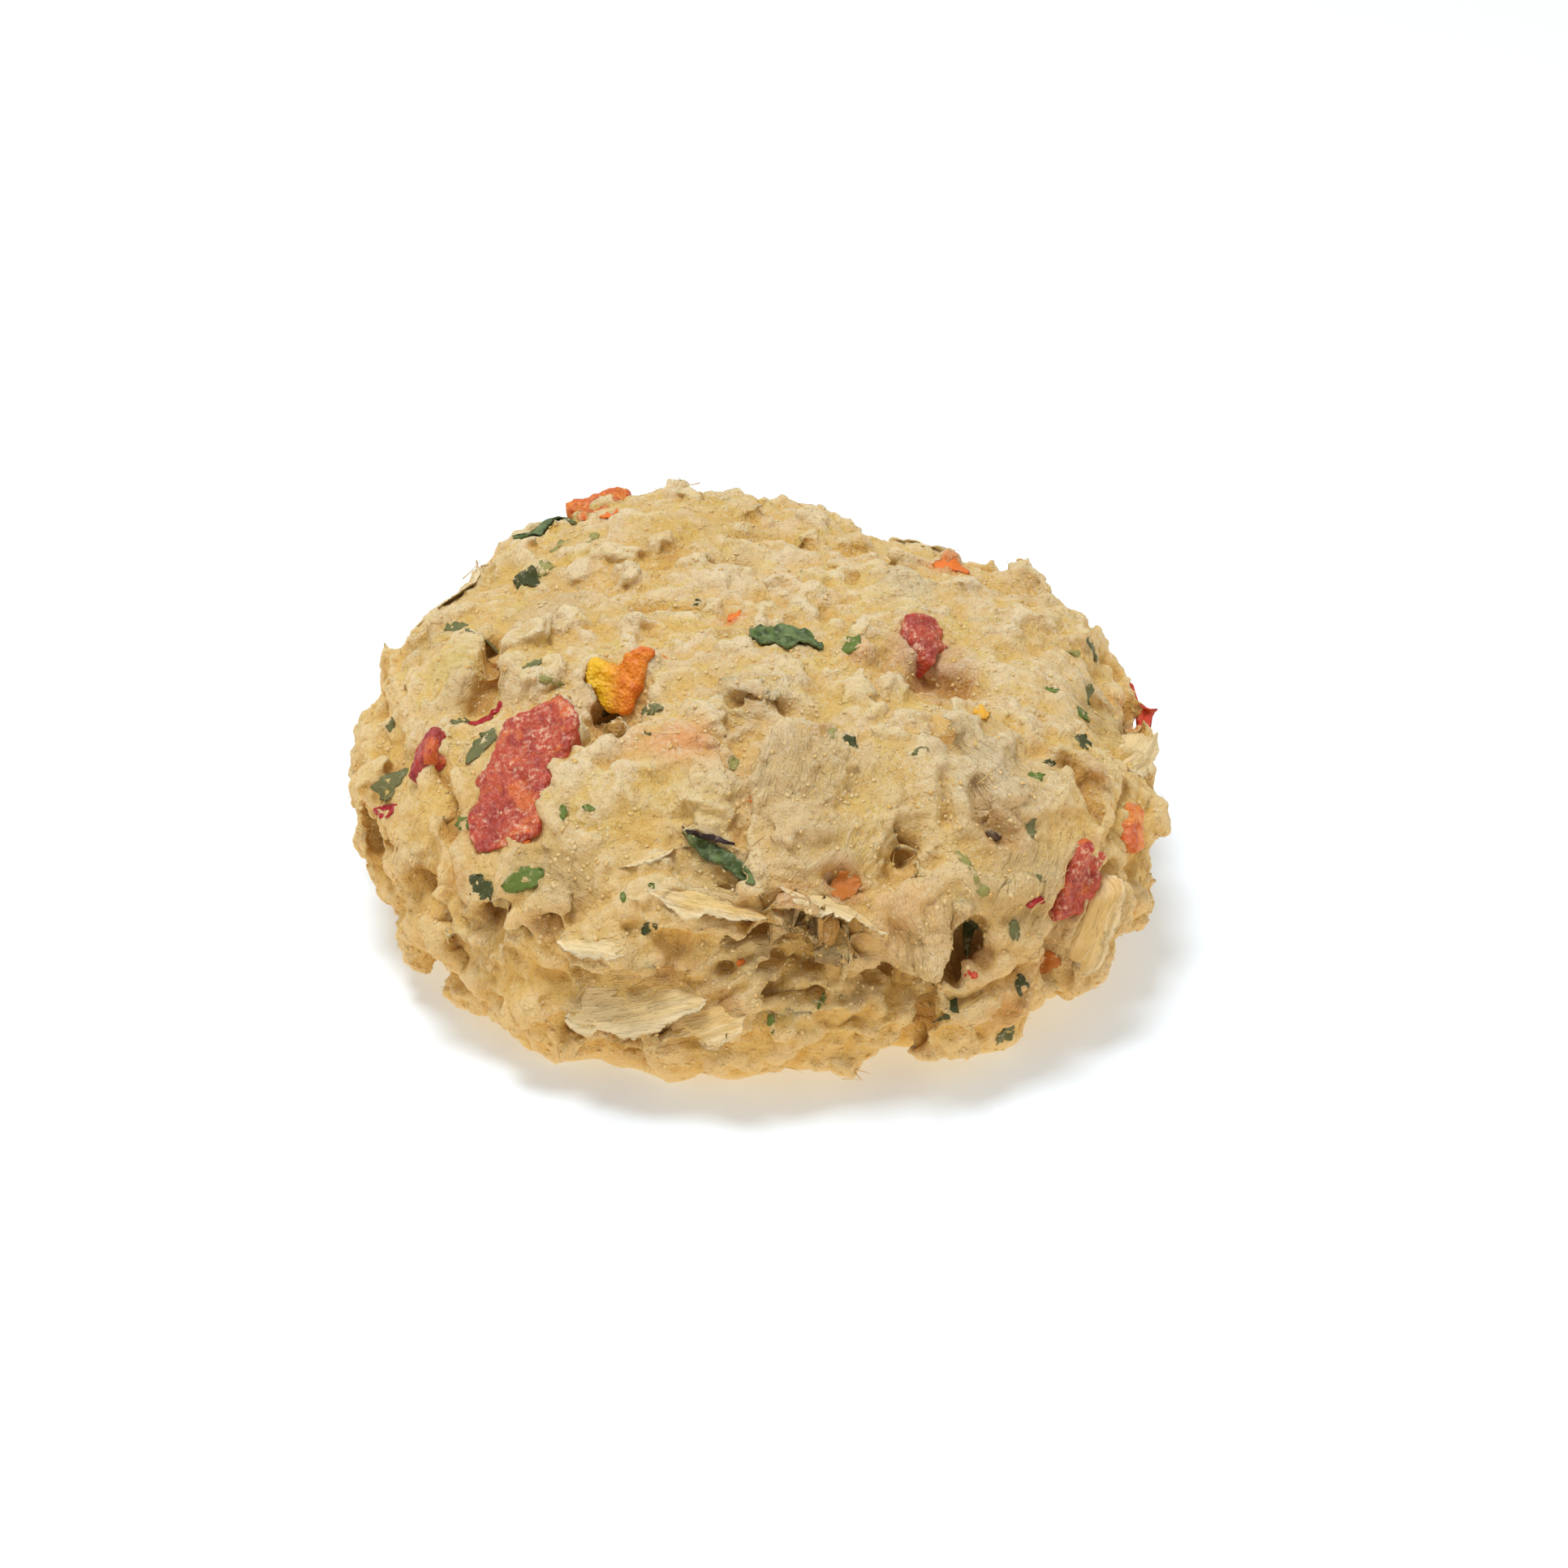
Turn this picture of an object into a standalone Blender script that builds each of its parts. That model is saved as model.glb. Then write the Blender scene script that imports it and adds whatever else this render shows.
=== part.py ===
"""A crab cake: a hand-shaped patty of crab flakes and soft crumb, with diced peppers and parsley pressed in.

Blender 4.5, metres, +Z up. The origin is the middle of the flat underside, and the torn front side is at -Y.
Sizes and places in the tables below are in millimetres.
"""

import math
import random
from collections import namedtuple

import bmesh
import bpy
from mathutils import Matrix, Vector, noise
from mathutils.bvhtree import BVHTree

MM = 0.001

# Driving sizes of the patty. The roundings are the powers of the curves from the waist to the top and to the
# foot: 2 is an ellipse, and more is squarer. The curve runs below the floor by the foot's depth.
HALF_WIDTH = 36.8 * MM
THICKNESS = 28.5 * MM
WAIST = 12.5 * MM
FOOT_DEPTH = 1.6 * MM
TOP_ROUNDING = 2.6
FOOT_ROUNDING = 3.6

# The rim bulges and draws in round the plan: azimuth and spread in degrees, then how far in millimetres
Bulge = namedtuple("Bulge", "azimuth spread out")
RIM_BULGES = (
    Bulge(108, 28, 3.4),
    Bulge(60, 18, -2.4),
    Bulge(324, 26, 1.8),
    Bulge(270, 22, -0.8),
    Bulge(185, 34, -1.4),
    Bulge(0, 24, -1.6),
)

# Lobes of the hand-shaped surface, and shallow hollows where out is negative: centre, radius and height
Swell = namedtuple("Swell", "name at radius out")
SWELLS = (
    Swell("right_pillow", (14.5, -22.0, 26.0), 8.5, 1.5),
    Swell("fibre_lobe", (4.5, -24.0, 26.4), 5.0, 1.7),
    Swell("tinted_lump", (-6.4, -19.0, 27.5), 4.6, 1.5),
    Swell("yellow_lump", (-3.8, -25.5, 26.0), 3.6, 1.6),
    Swell("pepper_shoulder", (-13.0, -22.5, 26.0), 4.8, 1.7),
    Swell("left_lobe", (-28.0, -2.5, 25.0), 7.0, 1.5),
    Swell("left_wall", (-34.0, -11.0, 11.0), 8.5, 0.9),
    Swell("centre_left_lobe", (-18.0, -5.0, 27.8), 5.6, 1.3),
    Swell("top_ridge", (3.0, -8.0, 28.5), 7.0, 0.9),
    Swell("back_left_hump", (-9.0, 25.0, 26.5), 9.0, 2.4),
    Swell("back_right_dip", (26.0, 24.0, 25.0), 8.0, -1.0),
    Swell("right_rim_lobe", (26.0, 10.0, 26.5), 8.0, 1.6),
    Swell("brow_right", (27.0, -20.0, 22.0), 7.5, 1.4),
    Swell("front_left_wall", (-20.0, -29.0, 12.0), 8.0, 0.9),
    Swell("under_brow", (4.0, -35.0, 15.5), 5.5, -3.0),
    Swell("fan_recess", (-10.0, -34.0, 5.5), 5.5, -3.2),
    Swell("foot_lobe_right", (20.5, -30.0, 8.0), 5.5, 1.0),
    Swell("foot_lobe_middle", (4.5, -34.0, 9.5), 5.0, 1.0),
)

# Creases and pits: a path through points on the surface, the half width and the depth
Cleft = namedtuple("Cleft", "name path width depth")
CLEFTS = (
    Cleft("left_crease", ((-23.5, 3.0, 26.7), (-24.3, -5.0, 26.5), (-25.5, -9.5, 25.7)), 1.4, 2.3),
    Cleft("pepper_notch", ((-12.3, -9.5, 28.2), (-13.1, -14.9, 27.7)), 1.8, 3.2),
    Cleft("top_hollow", ((13.0, -5.0, 28.5), (18.0, -8.5, 28.0)), 2.8, 2.0),
    Cleft("lobe_crease", ((-2.0, -18.5, 27.7), (-0.3, -25.0, 26.1), (-0.8, -30.0, 24.0)), 1.2, 1.9),
    Cleft("brow_pit", ((13.4, -28.0, 24.2), (13.2, -30.3, 22.5)), 1.3, 3.2),
    Cleft("brow_crack", ((-2.0, -32.6, 20.6), (5.0, -34.6, 17.2), (9.6, -34.8, 15.4), (12.0, -34.3, 12.6)),
          2.0, 4.6),
    Cleft("deep_hole", ((18.2, -32.0, 17.0), (18.8, -31.9, 14.6)), 1.8, 6.5),
    Cleft("foot_groove", ((17.0, -32.6, 13.0), (15.2, -33.0, 9.0), (13.4, -31.0, 2.0)), 1.7, 3.6),
    Cleft("left_pit", ((-23.1, -28.3, 16.0), (-22.0, -29.0, 15.2)), 1.2, 2.2),
    Cleft("wall_pit", ((-19.4, -30.8, 16.8), (-18.0, -31.5, 16.4)), 1.3, 2.6),
    Cleft("left_wall_crease", ((-29.0, -20.0, 19.0), (-29.5, -19.5, 12.0)), 1.3, 1.7),
    Cleft("right_fold", ((27.6, -27.0, 15.5), (28.2, -26.4, 9.0), (27.6, -25.0, 2.5)), 1.3, 2.8),
    Cleft("edge_fold", ((34.6, -10.0, 21.0), (35.0, -17.0, 17.5), (34.2, -18.5, 9.0)), 1.2, 2.2),
    Cleft("back_fold", ((-6.0, 37.5, 20.0), (2.0, 36.5, 14.0), (5.0, 35.0, 6.0)), 1.4, 2.6),
    Cleft("back_left_fold", ((-31.0, 20.0, 19.0), (-32.5, 17.0, 10.0)), 1.3, 2.4),
    Cleft("right_back_fold", ((31.0, 18.0, 18.0), (33.5, 12.0, 9.0)), 1.3, 2.6),
)

# Balls of batter that stand out of the wall: centre and half sizes
Ball = namedtuple("Ball", "name at half")
BALLS = (
    Ball("left_toe", (-17.6, -26.6, 3.6), (3.3, 3.1, 3.6)),
    Ball("front_toe", (-5.0, -28.0, 3.6), (5.2, 3.2, 3.6)),
    Ball("under_brow_knob", (7.8, -34.2, 15.8), (2.9, 2.6, 2.4)),
    Ball("right_toe", (19.4, -26.4, 4.6), (5.4, 3.8, 4.6)),
    Ball("side_knob", (36.6, -10.6, 15.4), (2.2, 2.0, 1.7)),
    Ball("side_knob_low", (33.6, -14.6, 10.4), (2.4, 3.6, 4.0)),
    Ball("left_knob", (-34.6, -3.0, 13.0), (2.4, 4.0, 4.4)),
    Ball("left_toe_back", (-31.6, 6.0, 5.0), (3.6, 4.6, 4.2)),
    Ball("back_toe", (8.0, 32.6, 5.0), (6.0, 4.0, 4.4)),
    Ball("back_knob", (-14.0, 36.6, 13.0), (4.6, 3.2, 4.0)),
)

# Crab flakes: thin fans, held along one side. Heading turns the length up from level, lift is how far the
# free edge stands off, and taper is how much shorter that edge is
Flake = namedtuple("Flake", "name at length width heading lift taper")
FLAKES = (
    Flake("fan", (-10.9, -34.4, 10.6), 13.0, 7.4, 12, 2.6, 0.1),
    Flake("small_fan", (-14.0, -33.4, 16.2), 7.0, 4.2, -6, 1.8, 0.1),
    Flake("fan_neighbour", (-2.4, -35.6, 11.6), 8.5, 6.0, 28, 1.6, 0.1),
    Flake("shelf", (-4.5, -33.6, 19.8), 13.0, 4.4, -8, 1.5, 0.1),
    Flake("brow_lip", (5.2, -33.2, 20.6), 14.0, 6.4, -20, 2.8, 0.15),
    Flake("tongue", (15.6, -32.8, 17.8), 9.0, 10.0, -12, 1.9, 0.6),
    Flake("right_flap", (30.4, -24.4, 11.6), 10.5, 6.0, 64, 1.4, 0.1),
    Flake("fibre_sheet", (4.2, -23.4, 27.2), 11.0, 8.0, 74, 0.5, 0.1),
    Flake("top_curl", (0.4, -11.2, 28.9), 7.5, 4.0, -24, 1.0, 0.1),
    Flake("pale_sheet", (20.5, -16.5, 26.6), 10.5, 5.6, -52, 0.6, 0.1),
    Flake("rim_spike", (26.0, 14.0, 25.4), 5.0, 3.0, 10, 1.2, 0.1),
    Flake("left_shred", (-33.8, -10.0, 17.0), 6.5, 3.4, 70, 0.8, 0.1),
)

FLAKE_PROUD = 0.7

# Flakes on the sides that are turned away, set by a rule
SIDE_FLAKES = 11
SIDE_FLAKE_ARC = (8, 205)
SIDE_FLAKE_HEIGHTS = (5.5, 22.0)
SIDE_FLAKE_LENGTHS = (6.0, 11.0)
SIDE_FLAKE_SLIMNESS = (0.5, 0.65)
SIDE_FLAKE_HEADINGS = (-30, 30)
SIDE_FLAKE_LIFTS = (0.7, 1.4)

# Diced pepper, each its own piece: outline in its plane (right and up), thickness, and how far it is proud
Pepper = namedtuple("Pepper", "name colour at outline thick proud")
FRONT_PEPPER = (
    (-2.2, 5.2), (3.4, 7.2), (5.6, 4.0), (4.0, 0.4), (2.0, -2.4),
    (1.8, -6.6), (-1.2, -7.8), (-4.8, -7.4), (-5.6, -3.8), (-3.6, 1.4),
)
PEPPERS = (
    Pepper("red_pepper_front", "red", (-20.2, -19.2, 25.4), FRONT_PEPPER, 4.2, 0.9),
    Pepper("red_pepper_left", "red", (-29.5, -12.6, 23.0),
           ((-2.4, -1.8), (-1.9, 1.6), (1.9, 2.6), (2.5, 0.9), (1.2, -1.4)), 3.4, 0.7),
    Pepper("red_pepper_top", "red", (15.3, -1.2, 28.3),
           ((-2.4, 1.9), (0.6, 3.6), (2.6, 2.2), (1.2, -3.4), (-0.9, -2.2)), 3.4, 0.6),
    Pepper("red_pepper_right", "red", (28.7, -25.6, 17.0),
           ((-3.4, -2.6), (-1.4, 0.4), (0.8, 3.2), (2.9, 3.2), (2.2, 0.0), (0.2, -3.4)), 3.2, 0.6),
    Pepper("orange_pepper_front", "orange", (-11.9, -8.2, 28.2),
           ((-3.4, 2.2), (-0.6, 1.2), (2.2, 3.4), (3.4, 2.2), (1.6, -1.2), (0.8, -3.8), (-1.6, -3.0),
            (-3.4, -0.8)), 3.8, 0.8),
    Pepper("orange_pepper_back", "orange", (-15.0, 29.6, 24.6),
           ((-3.6, -1.8), (-3.0, 1.6), (2.4, 2.2), (3.6, -0.2), (1.8, -1.9)), 3.4, 0.9),
    Pepper("orange_pepper_right", "orange", (34.4, -17.2, 18.2),
           ((-1.5, -2.6), (-1.1, 2.2), (1.2, 2.6), (1.3, -2.0)), 3.0, 0.6),
)

# Parsley leaves large enough to be pieces of their own: length, width, heading, curl across and wave along
Leaf = namedtuple("Leaf", "name at length width heading curl wave")
LEAVES = (
    Leaf("parsley_leaf_top", (2.6, -2.4, 29.0), 6.2, 4.4, -6, 0.5, 0.25),
    Leaf("parsley_leaf_front", (-2.8, -30.2, 23.6), 8.6, 2.8, -32, 0.5, 0.35),
    Leaf("parsley_leaf_back", (-20.2, 25.0, 24.4), 5.6, 3.6, 8, 0.4, 0.25),
)
LEAF_THICKNESS = 0.6
LEAF_PROUD = 0.3

# Parsley flecks fused to the surface: centre and length
FLECKS = (
    ((9.0, -2.6, 28.9), 2.2), ((-21.8, 13.6, 26.5), 2.6), ((-24.5, -15.3, 24.9), 2.8),
    ((-20.3, -28.8, 19.8), 2.6), ((-27.5, 2.0, 25.2), 2.0), ((-14.0, -13.0, 27.6), 2.6),
    ((-8.6, -14.6, 28.0), 1.8), ((7.3, -18.6, 28.0), 2.0), ((14.6, -17.6, 27.6), 1.5),
    ((24.2, -21.0, 23.8), 1.6), ((28.4, -16.0, 23.2), 1.8), ((28.6, -4.0, 25.6), 2.4),
    ((27.4, -10.4, 25.4), 1.7), ((19.0, -31.0, 19.4), 2.2), ((22.4, -29.8, 4.0), 2.6),
    ((-9.2, -33.6, 17.6), 1.6),
)
FLECK_THICKNESS = 0.8
FLECK_PROUD = 0.1

# Gap round each separate piece, grid sizes of the two skins, and the faces that the finished patty keeps
CLEARANCE = 0.32
BODY_GRID = 0.75
FLAKE_GRID = 0.55
BODY_TRIANGLES = 9700

# Size in metres of the slab below the floor that cuts the foot flat
SLAB = Vector((0.12, 0.12, 0.02))
SEED = 11

COLOURS = {
    "batter": ((0.78, 0.60, 0.36), 0.62),
    "red": ((0.62, 0.09, 0.06), 0.38),
    "orange": ((0.90, 0.38, 0.04), 0.40),
    "parsley": ((0.07, 0.16, 0.06), 0.55),
}


def clear_scene():
    for obj in list(bpy.data.objects):
        bpy.data.objects.remove(obj)


def material(name):
    found = bpy.data.materials.get(name)
    if found:
        return found
    colour, roughness = COLOURS[name]
    made = bpy.data.materials.new(name)
    made.use_nodes = True
    shader = made.node_tree.nodes["Principled BSDF"]
    shader.inputs["Base Color"].default_value = (*colour, 1)
    shader.inputs["Roughness"].default_value = roughness
    shader.inputs["Metallic"].default_value = 0
    return made


def new_object(name, mesh, finish):
    obj = bpy.data.objects.new(name, mesh)
    bpy.context.scene.collection.objects.link(obj)
    mesh.materials.clear()
    mesh.materials.append(material(finish))
    return obj


def object_from_bmesh(name, bm, finish):
    mesh = bpy.data.meshes.new(name)
    bm.to_mesh(mesh)
    bm.free()
    return new_object(name, mesh, finish)


def apply_modifiers(obj):
    """Turns the object's evaluated shape into its own mesh."""
    bpy.context.view_layer.update()
    graph = bpy.context.evaluated_depsgraph_get()
    mesh = bpy.data.meshes.new_from_object(obj.evaluated_get(graph))
    obj.modifiers.clear()
    obj.data = mesh


def smooth_step(x):
    x = min(1.0, max(0.0, x))
    return x * x * (3 - 2 * x)


def rim_radius(azimuth):
    """Radius of the waist at an azimuth in degrees, with +X at 0 and +Y at 90."""
    radius = HALF_WIDTH
    for bulge in RIM_BULGES:
        off = (azimuth - bulge.azimuth + 180) % 360 - 180
        radius += bulge.out * MM * math.exp(-((off / bulge.spread) ** 2))
    return radius


def patty_point(direction):
    """The point of the plain rounded patty that lies in a unit direction from its middle."""
    azimuth = math.atan2(direction.y, direction.x)
    rim = rim_radius(math.degrees(azimuth))
    out = math.hypot(direction.x, direction.y)
    if direction.z >= 0:
        power, height = 2 / TOP_ROUNDING, THICKNESS - WAIST
    else:
        power, height = 2 / FOOT_ROUNDING, -(WAIST + FOOT_DEPTH)
    radius = rim * out**power
    z = WAIST + height * abs(direction.z) ** power
    return Vector((radius * math.cos(azimuth), radius * math.sin(azimuth), z))


def segment_distance(point, start, end):
    along = end - start
    share = max(0.0, min(1.0, (point - start).dot(along) / along.length_squared))
    return (point - start - along * share).length


def cleft_depth(point, cleft):
    path = [Vector(p) * MM for p in cleft.path]
    near = min(segment_distance(point, a, b) for a, b in zip(path, path[1:]))
    reach = near / (cleft.width * MM)
    return cleft.depth * MM * math.exp(-reach * reach) if reach < 3 else 0.0


def swell_height(point):
    """How far the lobes move a point of the plain patty along its normal."""
    out = 0.0
    for swell in SWELLS:
        reach = (point - Vector(swell.at) * MM).length / (swell.radius * MM)
        if reach < 2.5:
            out += swell.out * MM * math.exp(-reach * reach)
    return out


def billow(point, wavelength):
    """Rounded lumps with creases between them, from 0 in a crease to about 1."""
    return 2 * abs(noise.noise(point / (wavelength * MM)))


def pit(point, spacing, radius):
    """1 in the middle of scattered pits, falling to 0 at their radius."""
    near = noise.voronoi(point / (spacing * MM))[0][0] * spacing
    return smooth_step(1 - near / radius)


def crag(point, normal):
    """Relief of the chunky batter, in metres: broad unevenness, lumps, small crumbs and pits."""
    warp = noise.noise_vector(point / (9 * MM)) * 2.2 * MM
    bent = point + warp
    bent.z *= 1.25
    wall = 1 - smooth_step(normal.z * 1.4)
    rough = 0.75 + 0.6 * wall
    broad = 0.8 * noise.noise(point / (15 * MM))
    lumps = 1.5 * (billow(bent, 8.5) - 0.45)
    crumbs = 0.8 * (billow(bent, 3.8) - 0.4)
    pits = 2.3 * pit(bent, 6.5, 1.7) * (0.25 + 0.75 * wall)
    under = smooth_step((point.z / MM + 1) / 3) if normal.z < -0.5 else 1
    return MM * (broad + rough * (lumps + crumbs) - pits) * under


def displaced(obj, shift):
    """Moves each vertex along its normal by shift(place, normal)."""
    mesh = obj.data
    moves = [vertex.normal * shift(vertex.co, vertex.normal) for vertex in mesh.vertices]
    for vertex, move in zip(mesh.vertices, moves):
        vertex.co += move


def level_foot(obj):
    """The underside rests flat: a slab cuts off what is lower than the floor."""
    bm = bmesh.new()
    bmesh.ops.create_cube(bm, size=1)
    bm.transform(Matrix.Translation((0, 0, -SLAB.z / 2)) @ Matrix.Diagonal((*SLAB, 1)))
    boolean(obj, [object_from_bmesh("floor_slab", bm, "batter")], "DIFFERENCE")
    largest_piece_only(obj)


def ball(at, half, subdivisions=3):
    bm = bmesh.new()
    bmesh.ops.create_icosphere(bm, subdivisions=subdivisions, radius=1)
    for vertex in bm.verts:
        bump = 1 + 0.14 * noise.noise(vertex.co * 1.3 + Vector(at))
        vertex.co = Vector([c * h * bump * MM for c, h in zip(vertex.co, half)]) + Vector(at) * MM
    return bm


def search_tree(obj):
    mesh = obj.data
    return BVHTree.FromPolygons([v.co for v in mesh.vertices], [p.vertices for p in mesh.polygons])


def lobed_patty():
    """The rounded patty with its lobes, before anything breaks its surface."""
    bm = bmesh.new()
    bmesh.ops.create_icosphere(bm, subdivisions=6, radius=1)
    for vertex in bm.verts:
        vertex.co = patty_point(vertex.co.normalized())
    body = object_from_bmesh("crab_cake", bm, "batter")
    displaced(body, lambda place, normal: swell_height(place))
    return body


def one_skin(body, grid, softening):
    """Gives everything that overlaps one closed skin of even faces, softened a little."""
    fuse = body.modifiers.new("fuse", "REMESH")
    fuse.mode = "VOXEL"
    fuse.voxel_size = grid * MM
    soften = body.modifiers.new("soften", "SMOOTH")
    soften.factor = 0.5
    soften.iterations = softening
    apply_modifiers(body)


def craggy(body):
    """The clefts, the balls pressed on, and the crags over all of it."""
    displaced(body, lambda place, normal: -sum(cleft_depth(place, cleft) for cleft in CLEFTS))
    joined = bmesh.new()
    joined.from_mesh(body.data)
    for item in BALLS:
        piece = ball(item.at, item.half)
        shell = bpy.data.meshes.new(item.name)
        piece.to_mesh(shell)
        piece.free()
        joined.from_mesh(shell)
        bpy.data.meshes.remove(shell)
    joined.to_mesh(body.data)
    joined.free()
    one_skin(body, BODY_GRID, 2)
    displaced(body, crag)


def thinned(body):
    """Fewer faces, most of them left where the surface turns."""
    body.data.calc_loop_triangles()
    thin = body.modifiers.new("thin", "DECIMATE")
    thin.ratio = min(1.0, BODY_TRIANGLES / len(body.data.loop_triangles))
    apply_modifiers(body)


def surface_frame(tree, at):
    """The nearest surface point to a place in millimetres, with axes right, up and outward there."""
    place, normal, _, _ = tree.find_nearest(Vector(at) * MM)
    outward = (normal + 0.8 * (place - Vector((0, 0, WAIST))).normalized()).normalized()
    right = Vector((1, 0, 0)) if abs(outward.x) < 0.9 else Vector((0, -outward.x, 0)).normalized()
    right = (right - right.dot(outward) * outward).normalized()
    up = outward.cross(right)
    return place, right, up, outward


def seated(bm, frame, heading=0.0):
    """Moves a piece modelled at the origin (millimetres, outward +Z) to its seat on the surface."""
    place, right, up, outward = frame
    turn = Matrix((right, up, outward)).transposed().to_4x4()
    spin = Matrix.Rotation(math.radians(heading), 4, "Z")
    bm.transform(Matrix.Translation(place) @ turn @ spin @ Matrix.Scale(MM, 4))


def sheet_solid(rows, columns, top, thickness):
    """A thin closed solid, both faces split alike: top(u, v) gives the upper one for u and v from -1 to 1."""
    bm = bmesh.new()
    layers = []
    for side in (1, 0):
        grid = []
        for i in range(rows):
            u = 2 * i / (rows - 1) - 1
            line = []
            for j in range(columns):
                v = 2 * j / (columns - 1) - 1
                point = Vector(top(u, v))
                point.z -= 0 if side else thickness(u, v)
                line.append(bm.verts.new(point))
            grid.append(line)
        layers.append(grid)
    upper, lower = layers
    for i in range(rows - 1):
        for j in range(columns - 1):
            for grid, order in ((upper, 1), (lower, -1)):
                a, b = grid[i][j], grid[i + 1][j]
                c, d = grid[i + 1][j + 1], grid[i][j + 1]
                bm.faces.new((a, b, c)[::order])
                bm.faces.new((a, c, d)[::order])
    rim = [(i, 0) for i in range(rows)] + [(rows - 1, j) for j in range(1, columns)]
    rim += [(i, columns - 1) for i in range(rows - 2, -1, -1)] + [(0, j) for j in range(columns - 2, 0, -1)]
    for (i, j), (k, m) in zip(rim, rim[1:] + rim[:1]):
        a, b, c, d = upper[i][j], upper[k][m], lower[k][m], lower[i][j]
        bm.faces.new((a, d, c))
        bm.faces.new((a, c, b))
    bmesh.ops.recalc_face_normals(bm, faces=bm.faces)
    return bm


def flake_solid(flake, seed):
    """A crab flake: a fan held along its upper edge, its ragged lower edge lifted off the surface."""
    jitter = random.Random(seed)
    phase = jitter.uniform(0, 6)

    def top(u, v):
        body = (1 - abs(u) ** 3.2) * 0.72 + 0.28
        ragged = 1 + 0.34 * noise.noise((u * 2.1 + phase, 0.3, v))
        ragged += 0.16 * noise.noise((u * 6 + phase, 2.7, v))
        across = v * body * (ragged if v < 0 else 1)
        free = smooth_step((1 - v) / 2)
        x = u * flake.length / 2 * (1 - flake.taper * free) + 0.5 * noise.noise((v * 2 + phase, u, 1.1))
        y = across * flake.width / 2
        bow = -0.10 * flake.length * u * u
        ripple = 0.18 * math.sin(4 * u + 3 * v + phase)
        z = FLAKE_PROUD + flake.lift * free + ripple + bow * (0.5 + 0.2 * free)
        return x, y, z

    def thickness(u, v):
        free = smooth_step((1 - v) / 2)
        return (0.9 + 1.5 * (1 - free)) * (1 - 0.35 * abs(u))

    return sheet_solid(10, 5, top, thickness)


def leaf_solid(leaf, grow=0.0):
    """A parsley leaf: thin, narrow at its ends, curled across and wavy along. grow enlarges it all round."""

    def top(u, v):
        body = (1 - abs(u) ** 2.2) * 0.8 + 0.2
        lobed = 1 + 0.16 * math.cos(9 * u + 0.6)
        x = u * (leaf.length / 2 + grow)
        y = v * (leaf.width / 2 * body * lobed + grow)
        z = leaf.curl * v * v + leaf.wave * math.sin(5 * u) - 0.3 * u * u * leaf.curl
        return x, y, z + 0.35 + grow

    return sheet_solid(9, 5, top, lambda u, v: LEAF_THICKNESS + 2 * grow)


def pepper_solid(pepper, grow=0.0):
    """A dice of pepper: its outline extruded and rounded, the skin uneven. grow enlarges it all round."""
    centre = sum((Vector(p) for p in pepper.outline), Vector((0, 0))) / len(pepper.outline)
    bm = bmesh.new()
    ring = []
    for point in pepper.outline:
        offset = Vector(point) - centre
        offset += offset.normalized() * grow
        ring.append(bm.verts.new((centre.x + offset.x, centre.y + offset.y, pepper.proud + grow)))
    face = bm.faces.new(ring)
    if face.normal.z < 0:
        face.normal_flip()
    made = bmesh.ops.extrude_face_region(bm, geom=[face])
    for item in made["geom"]:
        if isinstance(item, bmesh.types.BMVert):
            item.co.z -= pepper.thick + 2 * grow
            item.co.xy = centre + (item.co.xy - centre) * 0.86
    bmesh.ops.recalc_face_normals(bm, faces=bm.faces)
    bmesh.ops.bevel(bm, geom=bm.edges[:], offset=0.55, segments=2, profile=0.6, affect="EDGES")
    bmesh.ops.triangulate(bm, faces=bm.faces)
    for vertex in bm.verts:
        vertex.co.z += 0.22 * noise.noise(vertex.co * 0.45 + Vector(pepper.at))
    return bm


def fleck_solid(length, seed):
    """A fleck of parsley: a small flat uneven lens, half sunk in the batter."""
    jitter = random.Random(seed)
    bm = bmesh.new()
    bmesh.ops.create_icosphere(bm, subdivisions=1, radius=1)
    for vertex in bm.verts:
        ragged = jitter.uniform(0.8, 1.15)
        vertex.co.x *= length / 2 * ragged
        vertex.co.y *= length / 3.2 * ragged
        vertex.co.z = vertex.co.z * FLECK_THICKNESS / 2 + FLECK_PROUD
    return bm


def side_flakes():
    """Flakes for the sides that are turned away, spread evenly round them by a seeded rule."""
    rng = random.Random(SEED)
    start, end = SIDE_FLAKE_ARC
    for i in range(SIDE_FLAKES):
        azimuth = math.radians(start + (end - start) * (i + rng.uniform(0.2, 0.8)) / SIDE_FLAKES)
        height = rng.uniform(*SIDE_FLAKE_HEIGHTS)
        length = rng.uniform(*SIDE_FLAKE_LENGTHS)
        width = length * rng.uniform(*SIDE_FLAKE_SLIMNESS)
        heading = rng.uniform(*SIDE_FLAKE_HEADINGS)
        lift = rng.uniform(*SIDE_FLAKE_LIFTS)
        reach = HALF_WIDTH / MM
        at = (reach * math.cos(azimuth), reach * math.sin(azimuth), height)
        yield Flake(f"side_{i}", at, length, width, heading, lift, 0.1)


def largest_piece_only(obj):
    """Drops the loose scraps that a cut leaves."""
    bm = bmesh.new()
    bm.from_mesh(obj.data)
    unseen = set(bm.verts)
    groups = []
    while unseen:
        stack = [unseen.pop()]
        group = set(stack)
        while stack:
            for edge in stack.pop().link_edges:
                for vertex in edge.verts:
                    if vertex in unseen:
                        unseen.discard(vertex)
                        group.add(vertex)
                        stack.append(vertex)
        groups.append(group)
    groups.sort(key=len)
    loose = [vertex for group in groups[:-1] for vertex in group]
    bmesh.ops.delete(bm, geom=loose, context="VERTS")
    bm.to_mesh(obj.data)
    bm.free()


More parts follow.
